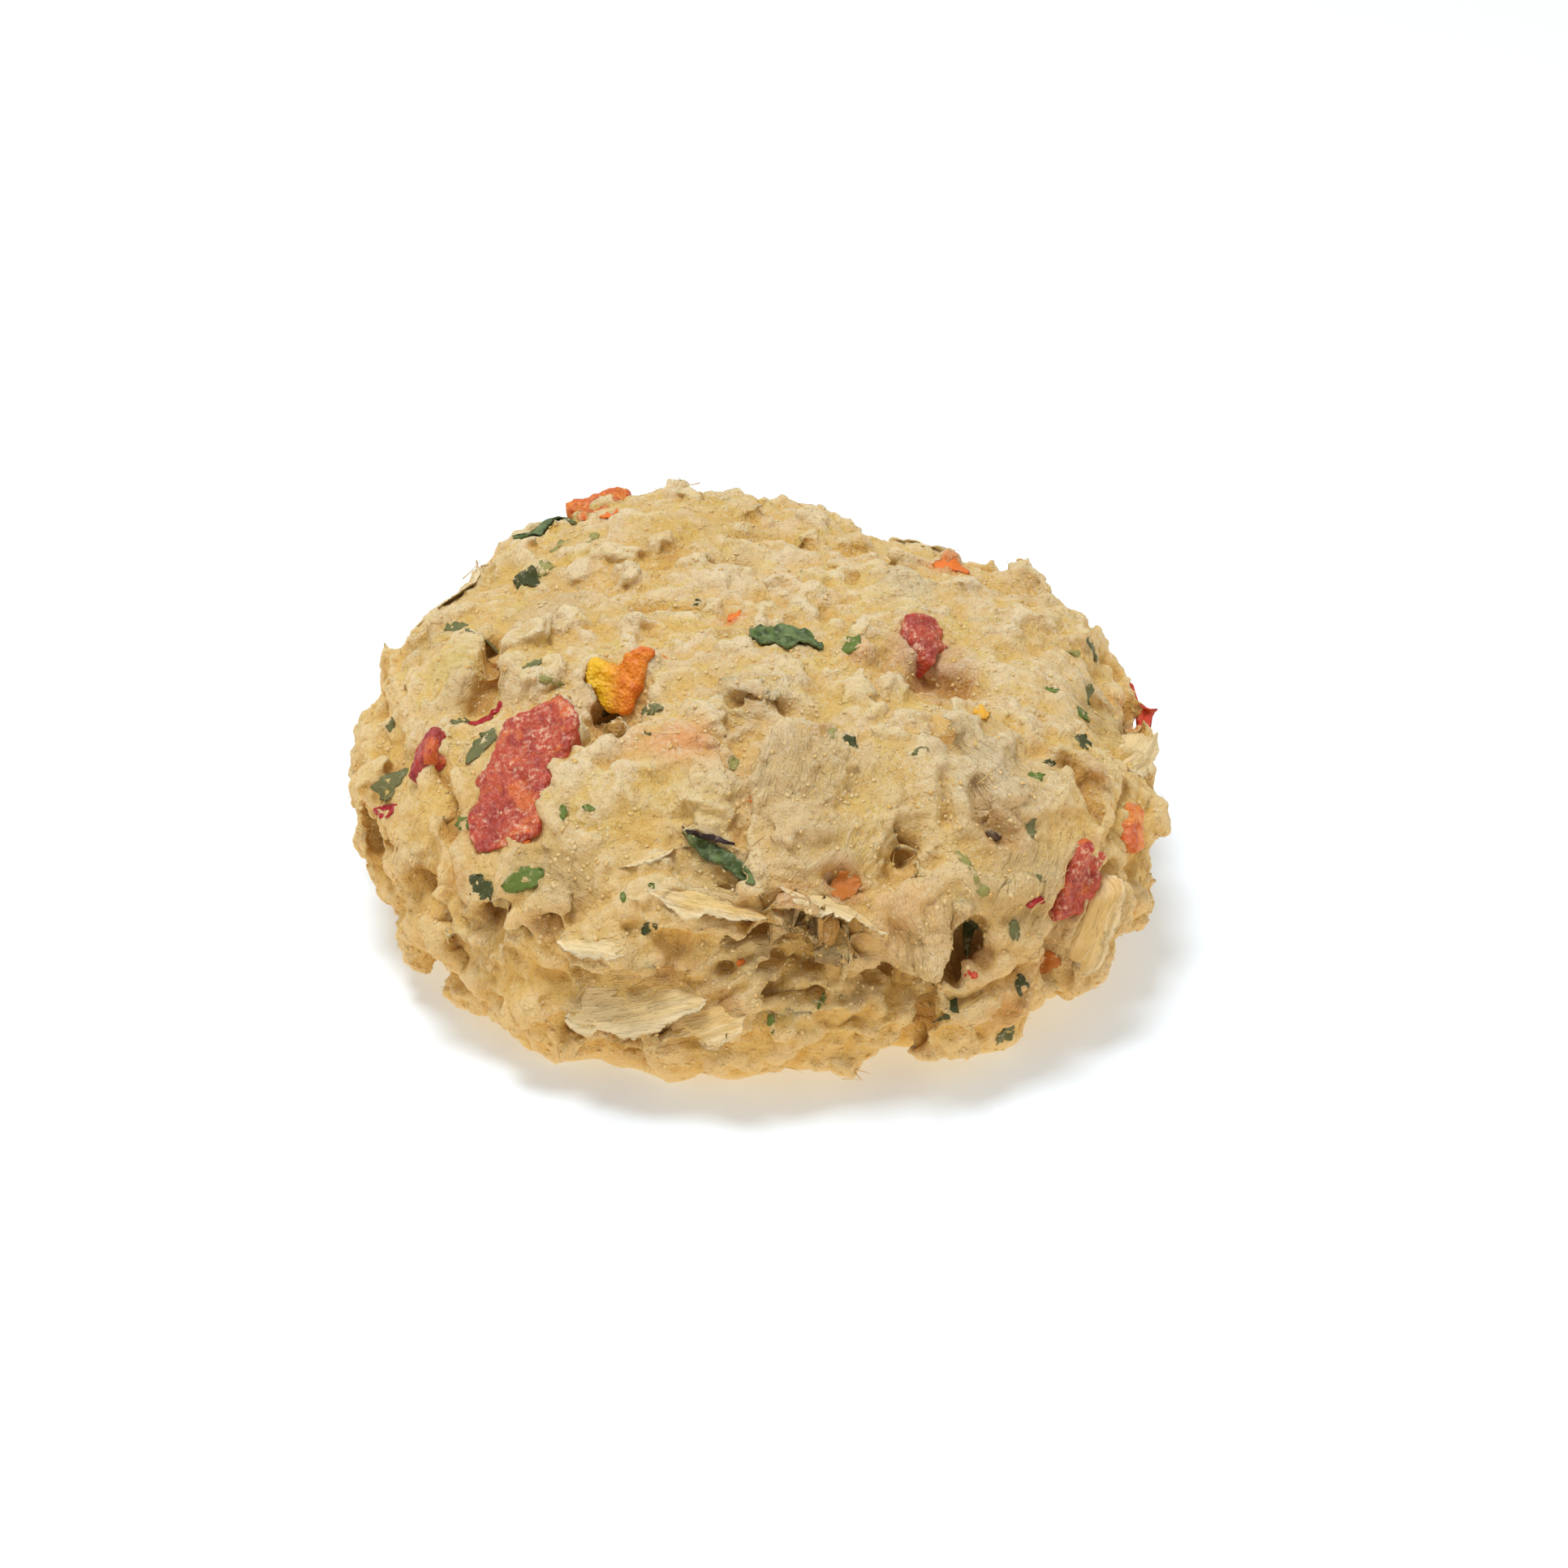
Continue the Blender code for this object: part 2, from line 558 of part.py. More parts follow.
def boolean(obj, pieces, operation):
    """Joins the pieces to the object, or cuts them from it, then removes them."""
    group = bpy.data.collections.new("pieces")
    bpy.context.scene.collection.children.link(group)
    for piece in pieces:
        bpy.context.scene.collection.objects.unlink(piece)
        group.objects.link(piece)
    cut = obj.modifiers.new("boolean", "BOOLEAN")
    cut.operation = operation
    cut.operand_type = "COLLECTION"
    cut.collection = group
    cut.solver = "MANIFOLD"
    apply_modifiers(obj)
    for piece in pieces:
        bpy.data.objects.remove(piece)
    bpy.data.collections.remove(group)


def fuse_pieces(body, lobes, crags):
    """Crab flakes, set on the lobes, and parsley flecks, set on the crags, are one with the batter."""
    pieces = []
    for number, flake in enumerate((*FLAKES, *side_flakes())):
        bm = flake_solid(flake, SEED + number)
        seated(bm, surface_frame(lobes, flake.at), flake.heading)
        pieces.append(object_from_bmesh("flake_" + flake.name, bm, "batter"))
    for number, (at, length) in enumerate(FLECKS):
        bm = fleck_solid(length, SEED + 100 + number)
        seated(bm, surface_frame(crags, at), 47 * number)
        pieces.append(object_from_bmesh(f"fleck_{number}", bm, "parsley"))
    boolean(body, pieces, "UNION")


def press_in(item, finish, solid, frame, heading):
    """Seats a separate piece in the batter, and returns its pocket, larger by a thin gap all round."""
    piece = solid(item)
    seated(piece, frame, heading)
    object_from_bmesh(item.name, piece, finish)
    pocket = solid(item, CLEARANCE)
    seated(pocket, frame, heading)
    return object_from_bmesh(item.name + "_pocket", pocket, "batter")


def press_in_pieces(body, tree):
    pockets = []
    for item in PEPPERS:
        pockets.append(press_in(item, item.colour, pepper_solid, surface_frame(tree, item.at), 0))
    for item in LEAVES:
        place, right, up, outward = surface_frame(tree, item.at)
        frame = (place + outward * LEAF_PROUD * MM, right, up, outward)
        pockets.append(press_in(item, "parsley", leaf_solid, frame, item.heading))
    boolean(body, pockets, "DIFFERENCE")
    largest_piece_only(body)


def main():
    clear_scene()
    noise.seed_set(SEED)
    body = lobed_patty()
    lobes = search_tree(body)
    craggy(body)
    crags = search_tree(body)
    fuse_pieces(body, lobes, crags)
    one_skin(body, FLAKE_GRID, 1)
    thinned(body)
    level_foot(body)
    press_in_pieces(body, crags)
    for obj in bpy.context.scene.objects:
        if obj.type == "MESH":
            obj.data.shade_smooth()


main()
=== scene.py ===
"""A crab cake dressed for its portrait: soft crumb, torn crab flakes, diced pepper and parsley."""

import math
import random
from collections import namedtuple

import bmesh
import bpy
import numpy as np
from mathutils import Matrix, Vector, noise
from mathutils.bvhtree import BVHTree


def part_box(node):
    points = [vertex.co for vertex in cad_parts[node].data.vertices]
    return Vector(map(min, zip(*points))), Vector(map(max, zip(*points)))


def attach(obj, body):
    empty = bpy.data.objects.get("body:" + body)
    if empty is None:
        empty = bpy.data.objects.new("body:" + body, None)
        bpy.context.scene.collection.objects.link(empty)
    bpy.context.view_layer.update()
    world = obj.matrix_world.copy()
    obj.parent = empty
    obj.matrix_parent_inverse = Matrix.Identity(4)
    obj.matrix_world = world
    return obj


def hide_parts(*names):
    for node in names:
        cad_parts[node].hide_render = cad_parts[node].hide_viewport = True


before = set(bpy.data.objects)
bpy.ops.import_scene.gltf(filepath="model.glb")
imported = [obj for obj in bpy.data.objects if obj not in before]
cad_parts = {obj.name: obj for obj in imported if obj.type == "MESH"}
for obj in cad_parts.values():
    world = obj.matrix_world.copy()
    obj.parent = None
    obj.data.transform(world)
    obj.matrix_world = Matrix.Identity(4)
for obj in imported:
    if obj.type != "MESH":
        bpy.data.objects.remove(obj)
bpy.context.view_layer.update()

MM = 0.001
SEED = 5
BODY = "root"
noise.seed_set(SEED)

# The view: the picture's size in pixels, its width in metres at the patty, and the camera's place
PHOTO = 1932
VIEW_WIDTH = 0.14543
DISTANCE = 0.45
ELEVATION = math.radians(32)
TARGET = Vector((0.0027, -0.0042, 0.0145))
BACK = Vector((0, -math.cos(ELEVATION), math.sin(ELEVATION)))
RIGHT = Vector((1, 0, 0))
UP = BACK.cross(RIGHT)

# Steps of the torn layers for each unit of their height
TORN_STEPS = 2.6

# The patty's skin: its grid, the rounds of smoothing, how far what fills the pockets sits below each
# pressed-in piece, and where the front half meets the back half
SKIN_GRID = 0.34 * MM
SKIN_SOFTENING = 4
POCKET_SINK = 0.7 * MM
HALVES_MEET = 4 * MM
# The rim at the foot is evened out below this height, over this many rounds
FOOT_SOFT = 2.2 * MM
FOOT_ROUNDS = 24
# What lies lower than this after the remesh is set on the flat foot
FOOT_SNAP = 0.06 * MM
# What lies lower than this is the flat foot, and edges longer than this only cross it
FLAT = 0.01 * MM
LONG_EDGE = 1.4 * MM
# Rounds that even out the relief, and rounds of softening that narrow and wide hollows are measured against
EVENING_ROUNDS = 2
NARROW_ROUNDS = 16
WIDE_ROUNDS = 70

# What pressed-in pieces are pushed in towards, and what sheets lean away from
PATTY_MIDDLE = Vector((0, 0, 10 * MM))
LEAN_MIDDLE = Vector((0, 0, 12 * MM))
# Rays down to the surface start so many millimetres off and go so far. Level rays start so many metres
# from the middle.
HOVER = 6
DROP = 14
OUTSIDE = 0.06

# Where each kind's own seeds start
SIDE_FLAKE_SEED = SEED + 100
LEAF_SEED = SEED + 200
FLECK_SEED = SEED + 300
SIDE_FLECK_SEED = SEED + 400
BIT_SEED = SEED + 500
SPREAD_SEED = SEED + 600

# The nodes of pepper with the finish of each, and the nodes of parsley
PEPPERS = {
    "red_pepper_front": "red",
    "red_pepper_left": "glossy_red",
    "red_pepper_top": "red",
    "red_pepper_right": "red",
    "orange_pepper_front": "two_tone",
    "orange_pepper_back": "orange",
    "orange_pepper_right": "orange",
}
LEAVES = ("parsley_leaf_top", "parsley_leaf_front", "parsley_leaf_back")

# Finer folds of the patty than its solid has, as strokes over the picture: a path in pixels, the half width
# and the depth in millimetres. A negative depth is a ridge. All depths are then multiplied by FOLD_DEPTH.
FOLD_DEPTH = 1.3
Stroke = namedtuple("Stroke", "name path width depth")
STROKES = [Stroke(*row) for row in (
    ("left_crease", ((612, 784), (602, 835), (587, 867)), 0.9, 1.6),
    ("pepper_pit", ((748, 878), (756, 905)), 0.8, 2.2),
    ("hollow_under_red", ((1140, 832), (1185, 845)), 1.3, 1.6),
    ("curl_shadow", ((905, 862), (940, 850), (975, 872)), 0.7, 1.3),
    ("spike_pit_upper", ((1112, 1018), (1122, 1042)), 0.55, 1.5),
    ("spike_pit_lower", ((1110, 1060), (1122, 1072)), 0.55, 1.3),
    ("orange_pit", ((1030, 1085), (1056, 1092)), 1.0, 1.8),
    ("left_wall_pit", ((603, 1128), (620, 1116)), 0.7, 1.9),
    ("wall_pit", ((660, 1143), (680, 1140)), 0.9, 2.1),
    ("shelf_shadow", ((832, 1108), (860, 1116), (905, 1130), (928, 1140)), 0.7, 1.3),
    ("lip_recess", ((960, 1130), (1000, 1145), (1040, 1160), (1062, 1190)), 1.7, 2.6),
    ("knob_shadow", ((1020, 1195), (1042, 1205), (1070, 1180)), 0.9, 1.5),
    ("tongue_hole", ((1192, 1140), (1186, 1160), (1176, 1192)), 1.0, 2.4),
    ("foot_groove", ((1152, 1215), (1140, 1245), (1126, 1282)), 0.7, 1.2),
    ("fan_shadow", ((700, 1272), (760, 1284), (830, 1276), (868, 1248)), 1.0, 1.7),
    ("toe_gap", ((770, 1300), (785, 1312)), 1.2, 1.6),
    ("brow_cleft", ((1205, 960), (1212, 1005), (1240, 1035)), 0.8, 1.4),
    ("pale_sheet_edge", ((1168, 905), (1165, 960), (1168, 1010)), 0.6, 0.9),
    ("flap_shadow", ((1372, 1075), (1352, 1110), (1330, 1165), (1312, 1205)), 0.8, 1.4),
    ("back_crease", ((880, 685), (925, 690), (980, 700)), 0.8, 1.0),
    ("back_fold", ((905, 655), (960, 660), (1000, 672)), 0.8, 0.9),
    ("top_fold", ((780, 745), (830, 748), (860, 742)), 0.7, 1.0),
    ("left_step", ((540, 945), (552, 990), (548, 1030)), 0.8, 1.2),
    ("left_low_step", ((520, 1085), (545, 1135), (560, 1185)), 0.9, 1.4),
    ("right_shoulder", ((1318, 940), (1345, 970), (1362, 1005)), 0.8, 1.3),
    ("right_notch", ((1392, 870), (1396, 905)), 0.9, 1.3),
    ("foot_shelf", ((1175, 1235), (1215, 1225), (1262, 1198)), 0.8, 1.2),
    ("fibre_ridge", ((938, 985), (930, 1030), (936, 1080)), 0.8, -0.8),
    ("brow_ridge", ((1180, 1075), (1235, 1095), (1290, 1085)), 1.2, -0.8),
    ("middle_ridge", ((760, 1180), (850, 1188), (930, 1165)), 0.9, -0.9),
    ("lower_ridge", ((880, 1222), (950, 1195), (1010, 1168)), 0.9, -0.9),
    ("ledge_shadow_upper", ((890, 1192), (950, 1180), (1004, 1184)), 0.6, 1.2),
    ("ledge_shadow_middle", ((880, 1228), (950, 1216), (1010, 1226)), 0.6, 1.3),
    ("ledge_shadow_lower", ((940, 1258), (1000, 1252), (1062, 1264)), 0.6, 1.1),
    ("left_ridge", ((628, 1060), (622, 1110), (640, 1160)), 0.9, -0.9),
)]

# Stains, paler or darker zones, and painted shade of the crumb: pixel, radius in millimetres, colour and
# strength. The umber entries in holes and recesses, and the rust entries in pits and creases, are painted
# shade.
StainAndShade = namedtuple("StainAndShade", "x y radius colour strength")
STAINS_AND_SHADE = [StainAndShade(*row) for row in (
    (640, 1010, 2.6, "apricot", 0.7),
    (745, 890, 2.2, "rust", 0.8),
    (800, 905, 2.6, "apricot", 0.5),
    (845, 908, 2.9, "apricot", 0.95),
    (880, 930, 1.8, "apricot", 0.6),
    (905, 765, 1.1, "flame", 0.9),
    (893, 780, 1.2, "rust", 0.5),
    (930, 852, 1.4, "rust", 0.5),
    (1012, 895, 1.3, "rust", 0.7),
    (1062, 800, 1.6, "apricot", 0.6),
    (1165, 842, 3.0, "rust", 0.6),
    (1140, 800, 3.2, "blush", 0.7),
    (1208, 880, 1.3, "gold", 0.95),
    (1236, 1020, 2.6, "rust", 0.65),
    (1292, 925, 2.4, "gold", 0.35),
    (1350, 955, 2.2, "rust", 0.45),
    (1400, 885, 2.0, "flame", 0.85),
    (1165, 686, 1.8, "flame", 0.85),
    (1060, 675, 1.4, "gold", 0.7),
    (835, 655, 3.0, "gold", 0.5),
    (918, 640, 3.0, "gold", 0.35),
    (1245, 720, 2.2, "gold", 0.5),
    (1042, 1088, 2.0, "ember", 0.95),
    (978, 1102, 1.6, "ember", 0.7),
    (905, 1120, 2.0, "rust", 0.35),
    (1190, 1165, 2.4, "umber", 0.9),
    (1290, 1182, 1.6, "ember", 0.75),
    (1248, 1245, 2.8, "ember", 0.45),
    (1195, 1180, 1.8, "ember", 0.5),
    (1015, 1170, 2.6, "umber", 0.6),
    (1060, 1210, 2.2, "umber", 0.5),
    (890, 1235, 1.6, "rust", 0.6),
    (825, 1190, 2.2, "rust", 0.5),
    (668, 1143, 1.6, "rust", 0.8),
    (610, 1124, 1.5, "rust", 0.7),
    (560, 1085, 2.0, "rust", 0.4),
    (515, 1145, 3.0, "gold", 0.5),
    (560, 1010, 2.4, "rust", 0.35),
    (556, 815, 2.4, "lemon", 0.7),
    (620, 835, 2.0, "dove", 0.8),
    (690, 745, 3.6, "dove", 0.6),
    (565, 850, 2.6, "dove", 0.6),
    (660, 1060, 4.0, "dove", 0.6),
    (700, 1090, 3.6, "dove", 0.5),
    (860, 1060, 3.0, "dove", 0.5),
    (960, 950, 5.0, "oyster", 0.75),
    (985, 1010, 4.0, "oyster", 0.6),
    (1225, 945, 4.6, "milk", 0.75),
    (1120, 715, 3.4, "milk", 0.7),
    (905, 710, 2.8, "milk", 0.6),
    (925, 690, 2.4, "milk", 0.4),
    (1260, 1090, 6.0, "dove", 0.55),
    (1330, 1150, 5.0, "oyster", 0.7),
    (1140, 1170, 4.6, "oyster", 0.75),
    (1110, 1120, 3.6, "apricot", 0.25),
    (830, 970, 3.6, "lemon", 0.35),
    (870, 960, 3.0, "milk", 0.4),
    (1090, 960, 5.0, "butter", 0.5),
    (1000, 880, 4.0, "butter", 0.4),
    (700, 960, 1.6, "milk", 0.9),
)]
STAIN_AND_SHADE_COLOURS = {
    "apricot": (0.80, 0.37, 0.13),
    "rust": (0.48, 0.21, 0.05),
    "flame": (0.76, 0.20, 0.03),
    "ember": (0.52, 0.16, 0.02),
    # umber is painted shade in holes and recesses. rust is painted shade where it lies in pits and creases,
    # and a stain elsewhere.
    "umber": (0.26, 0.14, 0.04),
    "gold": (0.66, 0.38, 0.07),
    "lemon": (0.68, 0.52, 0.13),
    "butter": (0.72, 0.51, 0.20),
    "blush": (0.60, 0.32, 0.21),
    "dove": (0.62, 0.44, 0.20),
    "oyster": (0.72, 0.52, 0.26),
    "milk": (0.82, 0.67, 0.42),
}

# Torn flakes of crab on the patty: middle in pixels; heading turns the length in the surface, from level;
# length and width; how far the free side and the tip stand off; raggedness of the free side; and paleness.
# A flake without paleness only shapes the patty's skin.
Flake = namedtuple("Flake", "name x y heading length width lift tip fringe pale")
FLAKES = [Flake(*row) for row in (
    ("fan", 782, 1234, 14, 13.0, 5.2, 0.9, 0.3, 0.35, 0.9),
    ("small_fan", 733, 1163, -8, 6.4, 2.6, 0.9, 0.3, 0.5, 1.0),
    ("neighbour", 868, 1262, 24, 8.0, 4.0, 0.9, 0.3, 0.3, 0.55),
    ("corner_flake", 872, 1282, 40, 4.6, 3.0, 0.8, 0.3, 0.5, 0.8),
    ("shelf", 872, 1112, -14, 10.5, 3.0, 0.8, 0.2, 0.5, 0.1),
    ("upper_strip", 905, 1172, 20, 11.0, 2.0, 0.6, 0.4, 0.8, 0),
    ("lower_strip", 925, 1208, 26, 11.5, 2.2, 0.7, 0.4, 0.9, 0),
    ("lip", 1026, 1120, -24, 10.0, 2.6, 1.3, 0.6, 1.2, 0.9),
    ("tongue", 1130, 1150, -66, 9.0, 7.4, 1.0, 1.6, 0.3, 0),
    ("right_flap", 1352, 1140, 66, 9.0, 3.0, 0.9, 0.4, 0.5, 0.4),
    ("fibre_sheet", 955, 965, 70, 9.5, 6.0, 0.3, 0.3, 0.9, 0),
    ("lower_fibres", 1000, 1035, 30, 8.0, 5.0, 0.3, 0.3, 0.9, 0),
    ("top_curl", 928, 846, -18, 6.5, 2.8, 0.8, 0.5, 0.8, 0),
    ("pale_sheet", 1228, 935, -58, 9.5, 4.6, 0.4, 0.3, 0.7, 0),
    ("spike", 1104, 1046, 14, 4.2, 1.5, 0.8, 1.2, 0.5, 0),
    ("step_flake", 860, 905, -12, 6.0, 2.6, 0.5, 0.3, 0.6, 0),
    ("back_flake_left", 905, 725, -60, 5.4, 2.6, 0.5, 0.4, 0.5, 0),
    ("back_flake_right", 1120, 712, 8, 6.5, 2.8, 0.5, 0.3, 0.6, 0),
    ("rim_flake", 1262, 665, 6, 6.5, 3.0, 0.9, 0.7, 0.6, 0),
    ("rim_point", 1338, 745, 30, 4.0, 2.0, 0.9, 0.8, 0.5, 0),
    ("shoulder_flake", 1330, 930, -40, 7.5, 3.0, 0.8, 0.4, 0.6, 0),
    ("left_point", 478, 838, 10, 4.0, 2.4, 0.8, 0.9, 0.5, 0),
    ("left_low_flake", 622, 1150, 70, 5.5, 2.4, 0.7, 0.3, 0.7, 0),
    ("foot_flake", 1240, 1180, 18, 9.0, 3.4, 0.8, 0.4, 0.6, 0),
    ("ledge_upper", 950, 1160, 22, 8.0, 2.0, 1.3, 0.3, 1.0, 0),
    ("ledge_middle", 985, 1200, 18, 8.0, 2.2, 1.3, 0.3, 1.0, 0),
    ("ledge_lower", 1000, 1238, 6, 9.0, 2.4, 1.2, 0.3, 1.0, 0),
    ("toe_flake", 1090, 1250, 24, 6.0, 2.4, 1.0, 0.3, 1.0, 0),
    ("left_ledge", 640, 1120, -12, 6.5, 2.2, 1.2, 0.3, 1.0, 0),
    ("left_toe", 640, 1215, 20, 7.0, 2.6, 1.2, 0.3, 1.0, 0),
    ("thread_flake", 800, 1058, 20, 5.0, 1.0, 0.5, 0.8, 1.0, 0.8),
)]
# How many more by a seeded rule, and the arc of azimuths that they lie in, in degrees
SIDE_FLAKES = 26
SIDE_FLAKE_ARC = (-14, 196)

# Where strands of crab show in the crumb: pixel, radius in millimetres, heading from level and strength
Strand = namedtuple("Strand", "x y radius heading strength")
STRANDS = [Strand(*row) for row in (
    (985, 955, 5.5, 72, 1.0),
    (1010, 1030, 4.5, 58, 0.9),
    (905, 1195, 5.0, 22, 0.9),
    (880, 1100, 4.0, -14, 0.6),
    (1130, 1165, 4.5, -68, 1.0),
    (1225, 940, 5.0, -58, 0.9),
    (1285, 1095, 5.0, 60, 0.8),
    (1335, 1150, 4.5, 66, 0.9),
    (600, 1160, 4.5, 62, 0.6),
    (700, 1095, 4.0, -25, 0.5),
    (780, 1235, 6.5, 14, 1.0),
    (915, 850, 3.5, -20, 0.8),
    (1180, 1230, 4.0, 30, 0.5),
    (520, 1060, 4.0, 75, 0.5),
    (1110, 720, 3.0, 5, 0.6),
)]
SIDE_STRANDS = 40

# Lumps in the skin: how many by a seeded rule, and clusters with their pixel, spread in pixels, count and
# radius
CLODS = 850
Cluster = namedtuple("Cluster", "x y spread count size")
CLUSTERS = [Cluster(*row) for row in (
    (696, 1024, 12, 16, 0.42),
    (716, 940, 9, 12, 1.0),
    (696, 966, 9, 12, 1.0),
    (676, 998, 9, 12, 0.9),
    (628, 1032, 8, 5, 0.6),
    (655, 1265, 16, 14, 1.0),
    (690, 1285, 14, 12, 0.9),
    (800, 1290, 20, 16, 0.9),
    (850, 1300, 18, 12, 0.8),
    (1042, 1170, 12, 10, 1.0),
    (1239, 1231, 18, 14, 1.1),
    (655, 1258, 9, 5, 1.8),
    (700, 1284, 9, 4, 1.6),
    (812, 1296, 12, 6, 1.8),
    (872, 1298, 9, 4, 1.6),
    (1180, 1258, 10, 5, 1.7),
    (960, 1150, 14, 9, 0.7),
    (1000, 1218, 16, 10, 0.8),
    (930, 1248, 18, 10, 0.8),
    (1060, 1246, 14, 9, 0.9),
    (870, 880, 16, 12, 0.9),
    (950, 760, 22, 12, 0.8),
    (880, 1010, 16, 10, 0.9),
)]

# Parsley and other flecks: pixel, length in millimetres and shade, and for some the width and heading
Fleck = namedtuple("Fleck", "x y length shade width heading", defaults=(None, None))
FLECKS = [Fleck(*row) for row in (
    (873, 1031, 4.8, "plum", 0.55, -17),
    (1050, 792, 2.6, "green"),
    (648, 712, 3.6, "dark"),
    (690, 672, 2.4, "pale"),
    (674, 697, 2.2, "pale"),
    (730, 663, 1.8, "pale"),
    (592, 922, 3.4, "grey"),
    (600, 903, 1.8, "grey"),
    (645, 1083, 3.6, "green"),
    (563, 773, 2.2, "grey"),
    (606, 803, 1.8, "grey"),
    (658, 820, 2.0, "grey"),
    (676, 838, 1.2, "pale"),
    (749, 876, 1.3, "dark"),
    (804, 873, 2.4, "grey"),
    (798, 905, 1.0, "grey"),
    (1043, 912, 2.2, "dark"),
    (1028, 902, 1.8, "pale"),
    (1134, 925, 1.7, "grey"),
    (904, 942, 1.8, "pale"),
    (1277, 956, 1.5, "green"),
    (1293, 940, 1.4, "dark"),
    (1335, 915, 2.2, "dark"),
    (1333, 881, 2.2, "green"),
    (1296, 851, 1.2, "green"),
    (1340, 856, 2.0, "grey"),
    (1346, 798, 2.8, "grey"),
    (1322, 806, 1.8, "pale"),
    (1206, 1092, 2.2, "pale"),
    (1190, 1062, 2.4, "pale"),
    (1196, 1138, 2.2, "dark"),
    (1250, 1146, 1.8, "grey"),
    (1258, 1214, 2.0, "dark"),
    (1140, 1253, 1.9, "dark"),
    (1236, 1272, 3.4, "grey"),
    (1263, 1262, 2.6, "dark"),
    (694, 1001, 1.6, "green"),
    (725, 995, 1.3, "green"),
    (568, 1014, 2.0, "green"),
    (592, 1095, 3.0, "dark"),
    (481, 967, 3.2, "grey"),
    (484, 893, 1.4, "grey"),
    (567, 888, 1.6, "grey"),
    (858, 742, 1.0, "dark"),
    (800, 1142, 1.9, "dark"),
    (768, 1105, 1.0, "green"),
    (803, 1092, 0.8, "green"),
    (1012, 1236, 0.9, "green"),
    (950, 1262, 1.7, "green"),
    (600, 1262, 1.4, "green"),
    (1283, 1082, 1.0, "grey"),
    (1270, 1022, 1.8, "grey"),
    (1222, 1030, 1.6, "umber"),
)]
# How many more by a seeded rule, the arc of azimuths that they lie in, in degrees, and their shades
SIDE_FLECKS = 46
SIDE_FLECK_ARC = (-8, 188)
SIDE_FLECK_SHADES = ("green", "dark", "grey", "pale")
FLECK_COLOURS = {
    "green": (0.130, 0.190, 0.035),
    "dark": (0.065, 0.075, 0.025),
    "grey": (0.160, 0.165, 0.065),
    "pale": (0.330, 0.310, 0.100),
    "umber": (0.100, 0.055, 0.030),
    "plum": (0.045, 0.025, 0.030),
}

# Small bits of pepper too small for a node: pixel, length, width, heading and colour
Bit = namedtuple("Bit", "x y length width heading colour")
BITS = [Bit(*row) for row in (
    (605, 884, 3.6, 1.1, 18, "crimson"),
    (1165, 686, 2.8, 1.4, 10, "orange"),
    (1400, 880, 1.4, 3.2, 80, "red"),
    (905, 762, 1.6, 0.9, 40, "orange"),
    (1208, 878, 1.8, 1.3, 20, "gold"),
    (1042, 1092, 2.8, 2.4, 20, "ember"),
    (1289, 1183, 2.2, 2.0, 60, "ember"),
    (1275, 1112, 1.6, 1.0, 10, "crimson"),
    (1197, 1201, 0.9, 0.7, 10, "red"),
    (478, 1000, 1.2, 3.6, 84, "crimson"),
    (752, 636, 2.2, 0.8, -40, "orange"),
    (925, 985, 0.7, 0.6, 0, "orange"),
    (913, 1187, 0.8, 0.7, 0, "orange"),
    (648, 1037, 0.9, 0.7, 0, "orange"),
)]
BIT_COLOURS = {
    "crimson": (0.42, 0.025, 0.035),
    "red": (0.60, 0.06, 0.03),
    "orange": (0.82, 0.20, 0.03),
    "gold": (0.86, 0.46, 0.05),
    "ember": (0.52, 0.17, 0.03),
}


